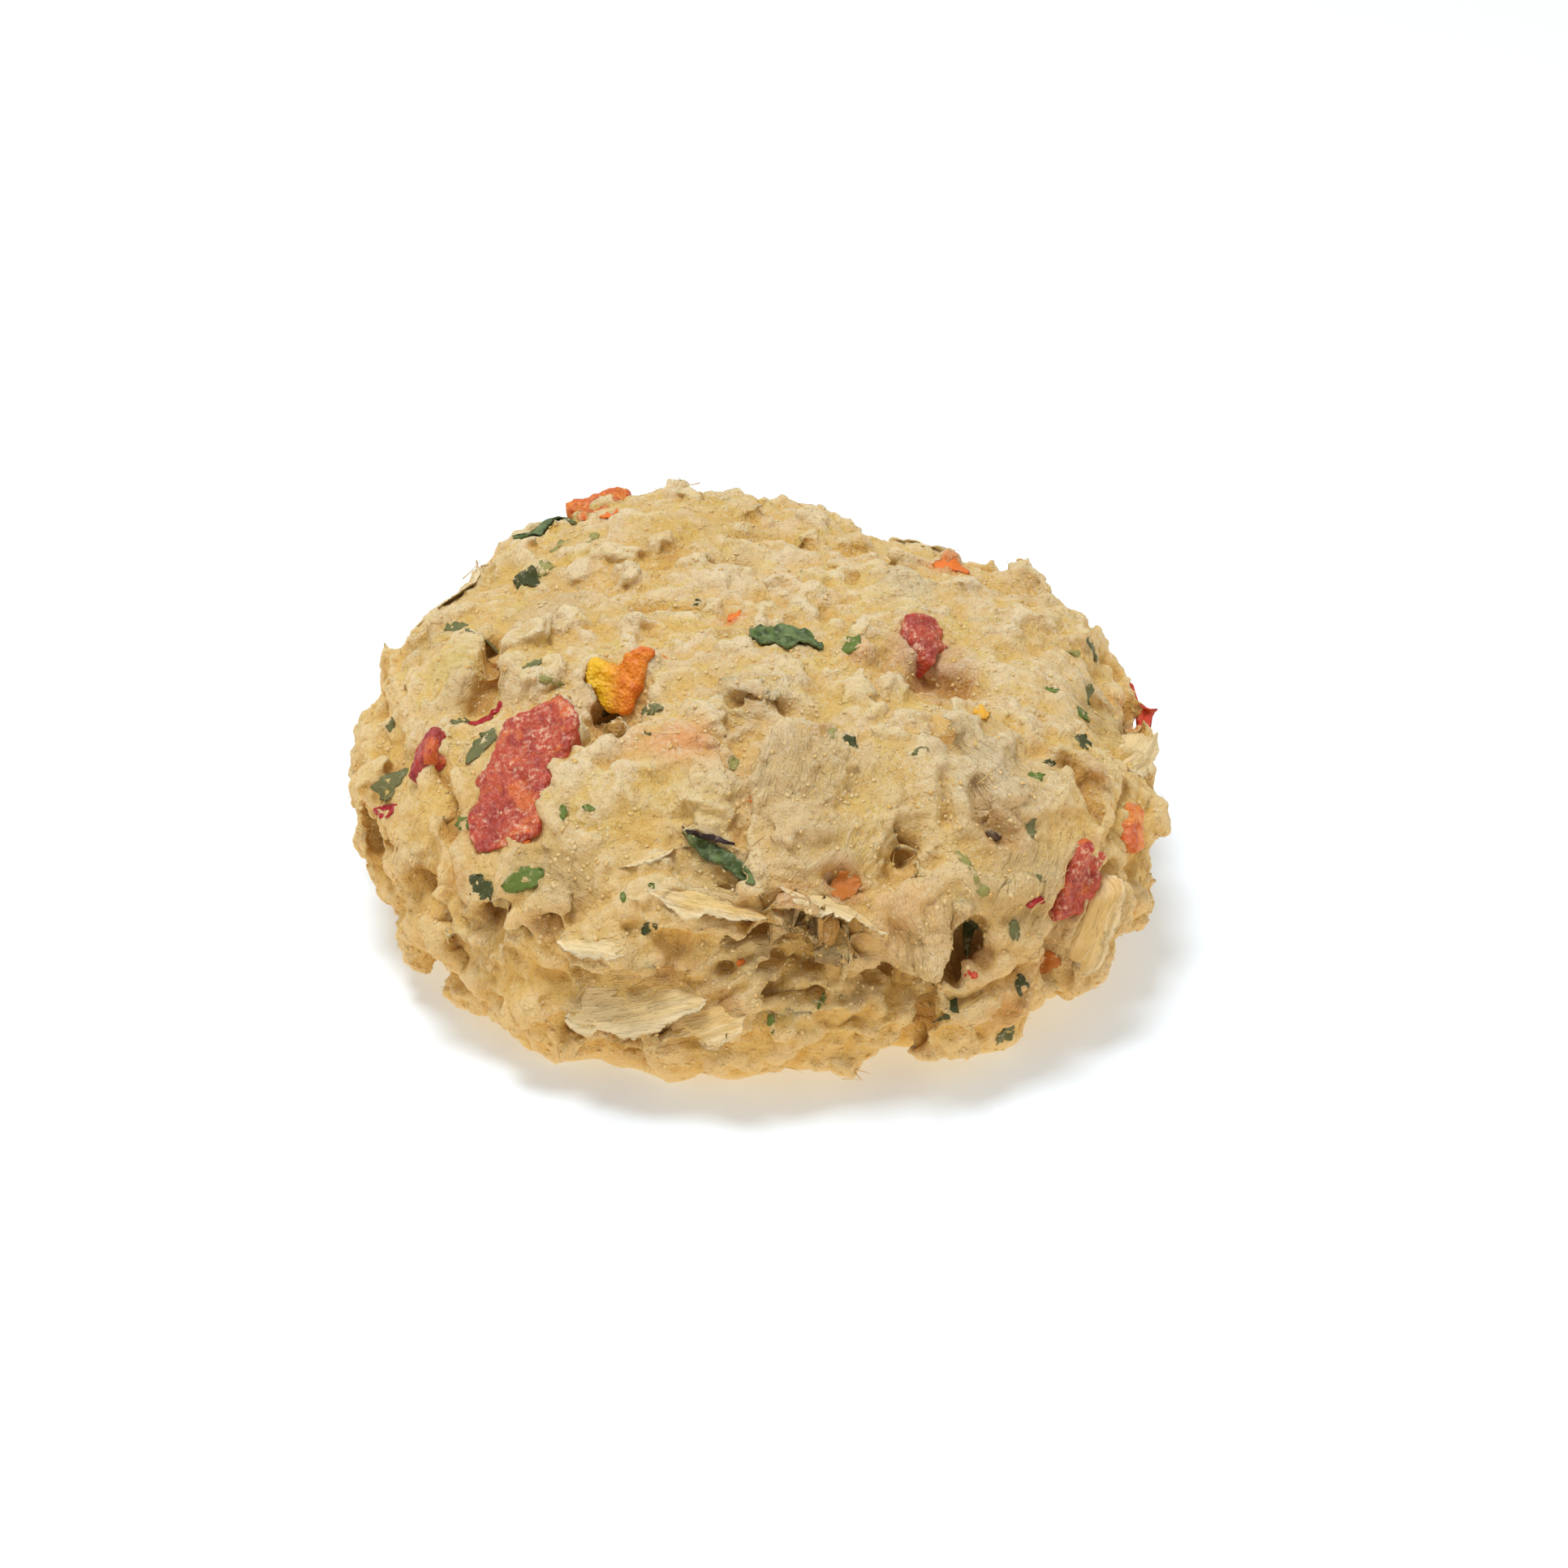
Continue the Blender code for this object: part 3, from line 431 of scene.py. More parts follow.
class Wire:
    """A value in a node tree: arithmetic on it adds Math nodes, and node() adds any other node."""

    def __init__(self, tree, socket=None):
        self.tree = tree
        self.socket = socket

    def node(self, kind, settings=None, sockets=None, output=0):
        """Adds a node: its settings, then the values or links of its sockets. Returns one of its outputs."""
        made = self.tree.nodes.new(kind)
        for name, value in (settings or {}).items():
            setattr(made, name, value)
        for name, value in (sockets or {}).items():
            if isinstance(value, Wire):
                self.tree.links.new(value.socket, made.inputs[name])
            else:
                made.inputs[name].default_value = value
        return Wire(self.tree, made.outputs[output] if made.outputs else None)

    def output(self, name):
        return Wire(self.tree, self.socket.node.outputs[name])

    def attribute(self, name, output="Fac"):
        """What a mesh keeps under a name, in a material."""
        return self.node("ShaderNodeAttribute", {"attribute_name": name}, output=output)

    def kept(self, name, kind="FLOAT"):
        """What a mesh keeps under a name, in Geometry Nodes."""
        return self.node("GeometryNodeInputNamedAttribute", {"data_type": kind}, {"Name": name}, "Attribute")

    def math(self, operation, *values, clamp=False):
        settings = {"operation": operation, "use_clamp": clamp}
        return self.node("ShaderNodeMath", settings, dict(enumerate(values)))

    def __add__(self, other):
        return self.math("ADD", self, other)

    def __sub__(self, other):
        return self.math("SUBTRACT", self, other)

    def __mul__(self, other):
        return self.math("MULTIPLY", self, other)

    def __rsub__(self, other):
        return self.math("SUBTRACT", other, self)

    __radd__ = __add__
    __rmul__ = __mul__

    def clamped(self):
        return self.math("ADD", self, 0.0, clamp=True)

    def between(self, low, high):
        """0 below low, 1 above high, smooth between."""
        sockets = {"Value": self, "From Min": low, "From Max": high}
        return self.node("ShaderNodeMapRange", {"interpolation_type": "SMOOTHSTEP"}, sockets)

    def axis(self, number):
        """One coordinate of a place or a direction: 0 across, 1 to the back, 2 up."""
        return self.node("ShaderNodeSeparateXYZ", None, {0: self}, number)

    def moved(self, by):
        return self.node("ShaderNodeVectorMath", {"operation": "ADD"}, {0: self, 1: by})

    def scaled(self, factors):
        return self.node("ShaderNodeVectorMath", {"operation": "MULTIPLY"}, {0: self, 1: factors})

    def noise(self, size, detail=2.0, roughness=0.5, distortion=0.0):
        """Noise over a place in millimetres, with lumps about size across."""
        sockets = {"Vector": self, "Scale": 1 / size, "Detail": detail}
        sockets |= {"Roughness": roughness, "Distortion": distortion}
        return self.node("ShaderNodeTexNoise", None, sockets)

    def cells(self, size, output="Distance", feature="F1"):
        """Cells about size across: the distance from their middles, or their random colours."""
        sockets = {"Vector": self, "Scale": 1 / size}
        return self.node("ShaderNodeTexVoronoi", {"feature": feature}, sockets, output)

    def swing(self, size):
        """One octave of noise, from about -0.6 to 0.6."""
        return 2 * self.noise(size, 0) - 1

    def warped(self, size, amount):
        """A place pushed about by up to a third of amount."""
        push = self.noise(size, 0).output("Color").moved((-0.5,) * 3).scaled((amount,) * 3)
        return self.moved(push)

    def torn(self, size):
        """Torn layers: flat steps with short ragged slopes between them, from about -1 to 1."""
        height = self.swing(size) + 0.15 * self.swing(size * 0.28) + 0.07 * self.swing(size * 0.12)
        scaled = height * TORN_STEPS
        rise = scaled.math("FRACT", scaled).between(0.68, 1.0)
        return (scaled.math("FLOOR", scaled) + rise) * (1 / TORN_STEPS)

    def lumpy(self, size):
        """Rounded lumps with creases between them, from 0 to 1."""
        middle = self.cells(size)
        next_middle = self.cells(size, feature="F2")
        inner = (1 - 1.4 * middle * middle).clamped()
        dome = inner.math("SQRT", inner)
        return dome * (next_middle - middle).between(-0.055, 0.165)

    def billow(self, size):
        """Puffy relief: rounded tops with sharp valleys, from 0 to about 1."""
        swing = self.swing(size)
        return 2 * swing.math("ABSOLUTE", swing)

    def chosen(self, size, share):
        """1 in a share of the cells, at random, and 0 in the rest."""
        chance = self.cells(size, "Color")
        return chance.math("LESS_THAN", chance, share)

    def pitted(self, spacing, radius, share):
        """1 in the middle of scattered pits, in a share of the cells."""
        inside = 1 - self.cells(spacing).between(0.0, radius / spacing)
        return inside * self.chosen(spacing, share)

    def mixed(self, first, second, factor):
        sockets = {0: factor, 6: opaque(first), 7: opaque(second)}
        return self.node("ShaderNodeMix", {"data_type": "RGBA"}, sockets, 2)

    def coated(self, *coats):
        """This colour under coats laid on in turn, each a colour and how much of it shows."""
        colour = self
        for tint, share in coats:
            colour = self.mixed(colour, tint, share)
        return colour

    def embossed(self, *layers):
        """A normal bumped by heights, each with the millimetres that its 1 stands for and its strength."""
        normal = None
        for height, distance, strength in layers:
            sockets = {"Height": height, "Distance": distance * MM, "Strength": strength}
            if normal:
                sockets["Normal"] = normal
            normal = self.node("ShaderNodeBump", None, sockets)
        return normal


def opaque(colour):
    return colour if isinstance(colour, Wire) else (*colour, 1)


# Finishes

# The crumb's colours. Those for dips, hollows and folds are painted shade there, the one for peaks is a
# painted highlight, and the one between strands is painted shade.
CRUMB_COLOURS = {
    "cream": (0.73, 0.50, 0.18),
    "pinkish": (0.78, 0.59, 0.34),
    "yellow": (0.75, 0.54, 0.14),
    "greenish": (0.66, 0.48, 0.26),
    "orange": (0.77, 0.45, 0.14),
    "wall": (0.81, 0.55, 0.18),
    "dip_shade": (0.77, 0.47, 0.10),
    "hollow": (0.60, 0.31, 0.06),
    "fold_shade": (0.54, 0.27, 0.055),
    "peak_highlight": (0.87, 0.73, 0.47),
    "strand": (0.83, 0.66, 0.37),
    "fine_strand": (0.83, 0.67, 0.41),
    "strand_gap_shade": (0.60, 0.36, 0.10),
    "frost": (0.86, 0.76, 0.56),
    "pore": (0.60, 0.39, 0.12),
}
# The heights in millimetres between which the wall's deeper tone gives way to the top's
WALL_TONE_ENDS = (18.0, 31.0)
# Tiny specks: spacing and radius in millimetres, and colour. They are in this share of the cells.
SPECK_SHARE = 0.16
SPECKS = ((2.6, 0.15, (0.07, 0.025, 0.015)), (3.4, 0.18, (0.45, 0.09, 0.02)))


def finish(name):
    """A new material's wires, its place in millimetres and its shader."""
    made = bpy.data.materials.new(name)
    made.use_nodes = True
    wires = Wire(made.node_tree)
    place = wires.node("ShaderNodeTexCoord", output="Object").scaled((1 / MM,) * 3)
    return made, wires, place, made.node_tree.nodes["Principled BSDF"]


def settle(shader, colour, roughness, normal, flesh=0.3, depth=1.6, bleed=(1.0, 0.55, 0.25), shine=0.4):
    """Links what varies over the surface, and sets what doesn't."""
    tree = shader.id_data
    for name, value in (("Base Color", colour), ("Roughness", roughness), ("Normal", normal)):
        if isinstance(value, Wire):
            tree.links.new(value.socket, shader.inputs[name])
        else:
            shader.inputs[name].default_value = value
    shader.inputs["Subsurface Weight"].default_value = flesh
    shader.inputs["Subsurface Scale"].default_value = depth * MM
    shader.inputs["Subsurface Radius"].default_value = bleed
    shader.inputs["Specular IOR Level"].default_value = shine


def crumb_finish():
    """Soft crumb: cream, tan, pinkish and greenish patches, painted ochre shade in hollows and folds, painted
    highlights on peaks, painted shade between strands, and tiny specks.
    """
    made, wires, place, shader = finish("crumb")
    hollow, carved, fibrous = (wires.attribute(name) for name in ("hollow", "carved", "fibrous"))
    stain = wires.attribute("stain", "Color")
    strand = wires.attribute("strand", "Vector").warped(3.0, 1.2)
    fibre = strand.scaled((0.16, 1.5, 1)).noise(1.0, 4, 0.62)
    fine = strand.scaled((0.4, 5.0, 1)).noise(1.0, 3, 0.6)
    low = 1 - place.axis(2).between(*WALL_TONE_ENDS)
    whitened = 1 - 0.45 * low
    frost = place.noise(0.45, 5, 0.65)
    frosted = place.noise(3.6, 4, 0.65, 0.6).between(0.42, 0.60)
    tints = CRUMB_COLOURS
    patches = place.noise(7.0, 3, 0.6, 0.8).between(0.40, 0.60)
    colour = wires.mixed(tints["cream"], tints["pinkish"], patches).coated(
        (tints["yellow"], place.noise(4.5, 4, 0.6, 1.2).between(0.50, 0.62) * 0.8),
        (tints["greenish"], place.scaled((1, 1, 1.3)).noise(4.2, 4, 0.6).between(0.52, 0.66) * 0.5),
        (tints["orange"], place.noise(3.0, 4, 0.6, 1.2).between(0.58, 0.70) * 0.4),
        (tints["wall"], low * 0.7),
        # Painted shade: deeper ochre in slight and deep hollows, and darker in the carved folds.
        (tints["dip_shade"], hollow.between(0.0, 0.35) * 0.60),
        (tints["hollow"], hollow.between(0.25, 1.0) * 0.7),
        (tints["fold_shade"], carved.between(0.6, 2.2) * 0.45),
        # Painted highlight: paler on the peaks, with less of it low on the walls.
        (tints["peak_highlight"], (0.0 - hollow).between(0.03, 0.40) * whitened * 0.6),
        (tints["strand"], fibre.between(0.50, 0.64) * fibrous * whitened * 0.65),
        # Painted shade in the grooves between strands.
        (tints["strand_gap_shade"], (1 - fibre).between(0.52, 0.66) * fibrous * 0.5),
        (tints["fine_strand"], fine.between(0.52, 0.62) * fibrous * 0.35),
        # Stains, and painted shade in pits, creases and recesses.
        (stain, stain.output("Alpha")),
        (tints["frost"], frost.between(0.48, 0.66) * (0.12 + 0.5 * frosted) * whitened),
        (tints["pore"], (1 - frost).between(0.58, 0.74) * 0.22),
    )
    for spacing, radius, speck in SPECKS:
        inside = 1 - (place.cells(spacing) * spacing).between(radius * 0.6, radius)
        colour = colour.coated((speck, inside * place.chosen(spacing, SPECK_SHARE) * 0.85))
    bent = place.moved(place.noise(0.8, 2).output("Color"))
    normal = wires.embossed(
        (place.noise(1.0, 6, 0.68), 0.50, 0.9),
        (1 - bent.cells(0.7), 0.16, 0.9),
        (1 - bent.cells(0.34), 0.11, 0.9),
        (place.noise(0.28, 3, 0.6), 0.14, 0.9),
        (fibre * fibrous, 0.60, 0.9),
        (fine * fibrous, 0.36, 0.9),
    )
    rough = 0.50 + 0.22 * place.noise(2.2, 3).between(0.35, 0.65)
    settle(shader, colour, rough, normal, flesh=0.4, depth=0.8, bleed=(1.0, 0.7, 0.45))
    return made


def flake_finish():
    """Crab flakes: pale fibres, whiter and thinner towards the torn side."""
    made, wires, place, shader = finish("crab_flake")
    along = wires.node("ShaderNodeUVMap")
    edge, pale = wires.attribute("edge"), wires.attribute("pale")
    fibre = along.scaled((0.20, 1.9, 1)).noise(1.0, 4, 0.62, 0.9)
    fine = along.scaled((0.45, 6.0, 1)).noise(1.0, 3, 0.6, 0.5)
    patches = place.noise(4.0, 3).between(0.4, 0.6)
    colour = wires.mixed((0.78, 0.54, 0.20), (0.82, 0.61, 0.30), patches).coated(
        ((0.82, 0.67, 0.38), pale.between(0.2, 1.1) * (0.25 + 0.6 * edge.between(0.1, 0.7))),
        ((0.87, 0.72, 0.43), fibre.between(0.50, 0.66) * 0.5),
        # Painted shade in the grooves between the coarse and the fine fibres.
        ((0.60, 0.37, 0.11), (1 - fibre).between(0.52, 0.68) * 0.5),
        ((0.56, 0.34, 0.11), (1 - fine).between(0.56, 0.70) * 0.3),
        ((0.90, 0.79, 0.54), edge.between(0.80, 1.0) * 0.6),
    )
    normal = wires.embossed((fibre, 0.50, 0.9), (fine, 0.16, 0.8), (place.noise(0.3, 3, 0.6), 0.08, 0.7))
    rough = 0.46 + 0.2 * place.noise(1.6, 3).between(0.35, 0.65)
    settle(shader, colour, rough, normal, flesh=0.0)
    return made


# Diced pepper: the finish's name, the colours of its flesh, of its deeper patches and of its frost, how
# strong the frost is, and for the yellow and orange dice the yellow of its left end
Pepper = namedtuple("Pepper", "name flesh deep frost frosting second", defaults=(1.0, None))
PEPPER_FINISHES = {
    "red": Pepper("red_pepper_flesh", (0.52, 0.072, 0.032), (0.38, 0.038, 0.024), (0.82, 0.50, 0.34)),
    "glossy_red": Pepper(
        "glossy_pepper_flesh", (0.44, 0.030, 0.022), (0.28, 0.014, 0.014), (0.80, 0.40, 0.30), 0.3
    ),
    "orange": Pepper("orange_pepper_flesh", (0.80, 0.24, 0.03), (0.62, 0.12, 0.02), (0.86, 0.50, 0.24)),
    "two_tone": Pepper(
        "two_tone_pepper_flesh", (0.86, 0.26, 0.012), (0.74, 0.17, 0.010), (0.88, 0.54, 0.20), 0.3,
        (0.90, 0.52, 0.012),
    ),
}
PEPPER_ORANGE = (0.80, 0.20, 0.03)
# Where across the two-tone dice its second colour ends, in millimetres
SECOND_COLOUR_X = (-14.4, -11.4)


def pepper_finish(kind):
    """Diced pepper: wet flesh with orange patches and frost grains."""
    made, wires, place, shader = finish(kind.name)
    patches = place.noise(1.6, 4, 0.6, 0.8).between(0.42, 0.58)
    orange_patches = place.noise(3.2, 3, 0.6, 0.6).between(0.54, 0.66)
    colour = wires.mixed(kind.flesh, kind.deep, patches).coated((PEPPER_ORANGE, orange_patches * 0.6))
    if kind.second:
        colour = colour.coated((kind.second, 1 - place.axis(0).between(*SECOND_COLOUR_X)))
    frost = place.noise(0.5, 5, 0.7)
    dusted = place.noise(2.2, 4, 0.65).between(0.44, 0.60)
    colour = colour.coated((kind.frost, frost.between(0.46, 0.64) * (0.12 + 0.80 * dusted) * kind.frosting))
    normal = wires.embossed((place.noise(0.8, 4, 0.6), 0.40, 0.9), (place.cells(0.34), 0.14, 0.9))
    rough = 0.30 + 0.35 * dusted
    settle(shader, colour, rough, normal, flesh=0.30, depth=1.4, bleed=(1.0, 0.3, 0.15), shine=0.5)
    return made


def leaf_finish():
    """Parsley leaf: crinkled dark green, paler veins, and a bluish frost in places."""
    made, wires, place, shader = finish("parsley_leaf")
    veins = wires.node("ShaderNodeUVMap").cells(1.1)
    patches = place.noise(1.2, 4, 0.6, 0.6).between(0.40, 0.62)
    colour = wires.mixed((0.040, 0.065, 0.018), (0.120, 0.180, 0.045), patches).coated(
        ((0.22, 0.30, 0.14), veins.between(0.35, 0.6) * 0.35),
        ((0.40, 0.43, 0.30), place.noise(0.5, 4, 0.7).between(0.52, 0.70) * 0.5),
    )
    normal = wires.embossed((veins, 0.25, 0.8), (place.noise(0.35, 4, 0.6), 0.14, 0.9))
    settle(shader, colour, 0.5, normal, flesh=0.0, shine=0.2)
    return made


def coloured_finish(name, roughness, frost):
    """Small bits whose colour is kept in each one's own vertices, lightly frosted."""
    made, wires, place, shader = finish(name)
    frosted = place.noise(0.6, 4, 0.7).between(0.52, 0.74) * frost
    colour = wires.attribute("own", "Color").coated(((0.62, 0.52, 0.34), frosted))
    normal = wires.embossed((place.noise(0.4, 4, 0.6), 0.16, 0.9))
    settle(shader, colour, roughness, normal, flesh=0.0, shine=0.2)
    return made


def grain_finish():
    """Loose grains of crumb, a little paler than the patty."""
    made, wires, place, shader = finish("crumb_grain")
    patches = place.noise(5.0, 3).between(0.42, 0.58)
    paler = place.noise(1.2, 2).between(0.60, 0.72) * 0.4
    colour = wires.mixed((0.72, 0.48, 0.17), (0.77, 0.58, 0.30), patches).coated(((0.82, 0.70, 0.45), paler))
    settle(shader, colour, 0.6, wires.embossed((place.noise(0.3, 3), 0.08, 1.0)), flesh=0.3, depth=0.3)
    return made


# Shapes


def new_piece(name, mesh, made):
    """A piece that rides on the part, with nothing of it under the floor."""
    for vertex in mesh.vertices:
        if vertex.co.z < 0:
            vertex.co.z = 0
    obj = placed(name, mesh)
    mesh.materials.clear()
    mesh.materials.append(made)
    if not mesh.has_custom_normals:
        mesh.shade_smooth()
    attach(obj, BODY)
    return obj


def mesh_of(bm, name):
    """What a bmesh holds, as a mesh. The bmesh is freed."""
    mesh = bpy.data.meshes.new(name)
    bm.to_mesh(mesh)
    bm.free()
    return mesh


def placed(name, mesh):
    """An object of the scene at the origin."""
    obj = bpy.data.objects.new(name, mesh)
    bpy.context.scene.collection.objects.link(obj)
    return obj


def merged_copy(node):
    """A node's faces as one closed skin."""
    bm = bmesh.new()
    bm.from_mesh(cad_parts[node].data)
    bmesh.ops.remove_doubles(bm, verts=bm.verts, dist=1e-6)
    return bm


def evaluated(obj):
    """The object's shape with its modifiers, as a new mesh. The object is removed."""
    bpy.context.view_layer.update()
    graph = bpy.context.evaluated_depsgraph_get()
    mesh = bpy.data.meshes.new_from_object(obj.evaluated_get(graph))
    bpy.data.objects.remove(obj)
    return mesh


def skinned(bm, grid, softening):
    """One even skin over everything in bm, as a new mesh."""
    obj = placed("skin", mesh_of(bm, "skin"))
    skin = obj.modifiers.new("skin", "REMESH")
    skin.mode = "VOXEL"
    skin.voxel_size = grid
    soften = obj.modifiers.new("soften", "SMOOTH")
    soften.factor = 0.5
    soften.iterations = softening
    return evaluated(obj)


def search_tree(mesh):
    return BVHTree.FromPolygons([v.co for v in mesh.vertices], [p.vertices for p in mesh.polygons])


def seen(tree, x, y):
    """The place and normal on a surface that shows at a pixel of the picture, or nearest to what is there."""
    eye = TARGET + BACK * DISTANCE
    aim = TARGET + RIGHT * ((x / PHOTO - 0.5) * VIEW_WIDTH) + UP * ((0.5 - y / PHOTO) * VIEW_WIDTH)
    place, normal, _, _ = tree.ray_cast(eye, (aim - eye).normalized())
    if place is None:
        place, normal, _, _ = tree.find_nearest(aim)
    return place, normal


def relief_tree():
    """Geometry Nodes that push the plain skin in and out by the crumb's relief, all in millimetres.

    The skin's own attributes say how deep the placed folds go and where strands lie. Two noises are kept for
    later.
    """
    tree = bpy.data.node_groups.new("crumb_relief", "GeometryNodeTree")
    tree.interface.new_socket("Skin", in_out="INPUT", socket_type="NodeSocketGeometry")
    tree.interface.new_socket("Skin", in_out="OUTPUT", socket_type="NodeSocketGeometry")
    wires = Wire(tree)
    skin = wires.node("NodeGroupInput")
    place = wires.node("GeometryNodeInputPosition").scaled((1 / MM,) * 3)
    normal = wires.node("GeometryNodeInputNormal")
    carved, fibrous = wires.kept("carved"), wires.kept("fibrous")
    strand = wires.kept("strand", "FLOAT_VECTOR").warped(3.0, 1.6)
    kept = {"patches": place.swing(5.0), "ragged": place.swing(1.4) + 0.5 * place.swing(0.6)}
    for name, value in kept.items():
        skin = wires.node(
            "GeometryNodeStoreNamedAttribute",
            {"data_type": "FLOAT", "domain": "POINT"},
            {"Geometry": skin, "Name": name, "Value": value},
        )
    wall = 1 - normal.axis(2).between(0.0, 0.67)
    bent = place.warped(5.0, 2.0).warped(1.6, 0.6).scaled((1, 1, 1.2))
    coarse = (0.5 + 1.4 * place.swing(6.5)).clamped()
    layers = 0.70 * bent.torn(5.2) + 0.42 * bent.moved((20.0, 0, 0)).torn(2.6)
    lumps = (0.25 + 0.75 * coarse) * (0.75 * (bent.lumpy(2.9) - 0.6) + 0.34 * (bent.lumpy(1.4) - 0.6))
    lumps = lumps + 0.8 * wall * (bent.lumpy(5.2) - 0.6)
    fluff = 0.46 * (bent.billow(2.3) - 0.4) + 0.24 * (bent.billow(1.15) - 0.4)
    fluff = fluff + 0.13 * (place.billow(0.6) - 0.4)
    pits = (0.5 + 0.6 * wall) * bent.pitted(4.2, 0.95, 0.34)
    strands = strand.scaled((0.22, 1, 1)).billow(1.4) + 0.5 * strand.scaled((0.3, 1, 1)).billow(0.8) - 0.6
    height = (0.50 + 0.24 * wall) * layers + (0.62 + 0.23 * wall) * lumps + 0.75 * fluff
    height = height * (1 - 0.35 * fibrous) + 0.45 * fibrous * strands - pits - carved
    foot = place.axis(2).between(0.2, 3.6)
    sockets = {0: normal, "Scale": height * foot * MM}
    push = wires.node("ShaderNodeVectorMath", {"operation": "SCALE"}, sockets)
    pushed = wires.node("GeometryNodeSetPosition", None, {0: skin, "Offset": push})
    wires.node("NodeGroupOutput", None, {0: pushed})
    return tree


def neighbour_mean(values, edges, counts):
    """Each vertex's mean of its neighbours' values."""
    total = np.zeros_like(values)
    for near, far in ((0, 1), (1, 0)):
        for axis in range(values.shape[1]):
            total[:, axis] += np.bincount(edges[:, near], values[edges[:, far], axis], len(values))
    return total / counts[:, None]


def mesh_arrays(mesh):
    """A mesh's places, normals and short edges, and how many neighbours each vertex has over these."""
    count = len(mesh.vertices)
    places = np.empty(count * 3)
    normals = np.empty(count * 3)
    edges = np.empty(len(mesh.edges) * 2, int)
    mesh.vertices.foreach_get("co", places)
    mesh.vertices.foreach_get("normal", normals)
    mesh.edges.foreach_get("vertices", edges)
    places = places.reshape(-1, 3)
    edges = edges.reshape(-1, 2)
    spans = np.linalg.norm(places[edges[:, 0]] - places[edges[:, 1]], axis=1)
    edges = edges[spans < LONG_EDGE]
    counts = np.maximum(1, np.bincount(edges.ravel(), minlength=count))
    return places, normals.reshape(-1, 3), edges, counts


def hollowness(mesh, rounds):
    """How many millimetres each vertex lies below the softened surface. Peaks are negative."""
    places, normals, edges, counts = mesh_arrays(mesh)
    soft = places
    for _ in range(rounds):
        soft = neighbour_mean(soft, edges, counts)
    return ((soft - places) * normals).sum(1) / MM


def kept_values(mesh, name):
    values = np.empty(len(mesh.vertices))
    mesh.attributes[name].data.foreach_get("value", values)
    return values


def add_values(mesh, name, values):
    mesh.attributes.new(name, "FLOAT", "POINT").data.foreach_set("value", values)


def flatten_foot(mesh):
    """Makes the flat underside exactly flat and of few faces."""
    bm = bmesh.new()
    bm.from_mesh(mesh)
    for vertex in bm.verts:
        if vertex.co.z < FOOT_SNAP:
            vertex.co.z = 0
    flat = [f for f in bm.faces if all(v.co.z == 0 for v in f.verts)]
    bmesh.ops.delete(bm, geom=flat, context="FACES")
    rim = [e for e in bm.edges if e.is_boundary]
    filled = bmesh.ops.holes_fill(bm, edges=rim, sides=0)["faces"]
    bmesh.ops.triangulate(bm, faces=filled)
    bm.to_mesh(mesh)
    bm.free()


def add_clods(whole, packed):
    """Adds uneven lumps half sunk in the surface, denser in patches and in the picture's clusters."""
    both = bmesh.new()
    for node in (*PEPPERS, *LEAVES):
        both.from_mesh(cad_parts[node].data)
    toppings = BVHTree.FromBMesh(both)
    both.free()
    ball = bmesh.new()
    bmesh.ops.create_icosphere(ball, subdivisions=2, radius=1)
    unit = [v.co.copy() for v in ball.verts]
    shell = [[v.index for v in f.verts] for f in ball.faces]
    ball.free()
    rng = random.Random(SEED + 2)
    faces = [f for f in whole.faces if f.calc_center_median().z > 1.2 * MM and f.normal.z > -0.7]
    weights = []
    for face in faces:
        patch = noise.noise(face.calc_center_median() / (7 * MM))
        weights.append(face.calc_area() * max(0.12, 0.5 + 1.6 * patch))
    spots = []
    for face in rng.choices(faces, weights, k=CLODS):
        a, b, c = (v.co for v in face.verts)
        s, t = sorted((rng.random(), rng.random()))
        place = a * s + b * (t - s) + c * (1 - t)
        radius = rng.uniform(0.5, 0.8) + 1.5 * rng.random() ** 2.2
        if toppings.find_nearest(place)[3] > (1.0 + radius) * MM:
            spots.append((place, face.normal, radius))
    for cluster in CLUSTERS:
        for _ in range(cluster.count):
            x, y = rng.gauss(cluster.x, cluster.spread), rng.gauss(cluster.y, cluster.spread)
            place, normal = seen(packed, x, y)
            place = place + normal * rng.uniform(0, 0.6) * MM
            spots.append((place, normal, cluster.size * rng.uniform(0.6, 1.3)))
    verts, polygons = [], []
    for place, normal, radius in spots:
        phase = random_phase(rng)
        turn = Matrix(turned_axes(place, normal, rng.uniform(-90, 90))).transposed()
        stretch = Vector((rng.uniform(1, 1.6), rng.uniform(0.6, 1.0), rng.uniform(0.4, 0.75)))
        base = len(verts)
        middle = place - normal * radius * 0.05 * MM
        for corner in unit:
            bumpy = 1 + 0.7 * noise.noise(corner * 1.2 + phase) + 0.35 * noise.noise(corner * 2.6 + phase)
            verts.append(middle + turn @ (corner * stretch * bumpy) * radius * MM)
        polygons.extend([[base + i for i in face] for face in shell])
    mesh = bpy.data.meshes.new("clods")
    mesh.from_pydata(verts, [], polygons)
    whole.from_mesh(mesh)
    bpy.data.meshes.remove(mesh)


def strand_zones(packed):
    """Where strands show, with place and normal: as the picture has them, and by a seeded rule elsewhere."""
    for zone in STRANDS:
        yield zone, *seen(packed, zone.x, zone.y)
    rng = random.Random(SEED + 4)
    for _ in range(SIDE_STRANDS):
        azimuth = math.radians(rng.uniform(-10, 190))
        place, normal = round_side(packed, azimuth, rng.uniform(2, 26) * MM)
        yield Strand(0, 0, rng.uniform(3, 5.5), rng.uniform(-80, 80), rng.uniform(0.3, 0.9)), place, normal


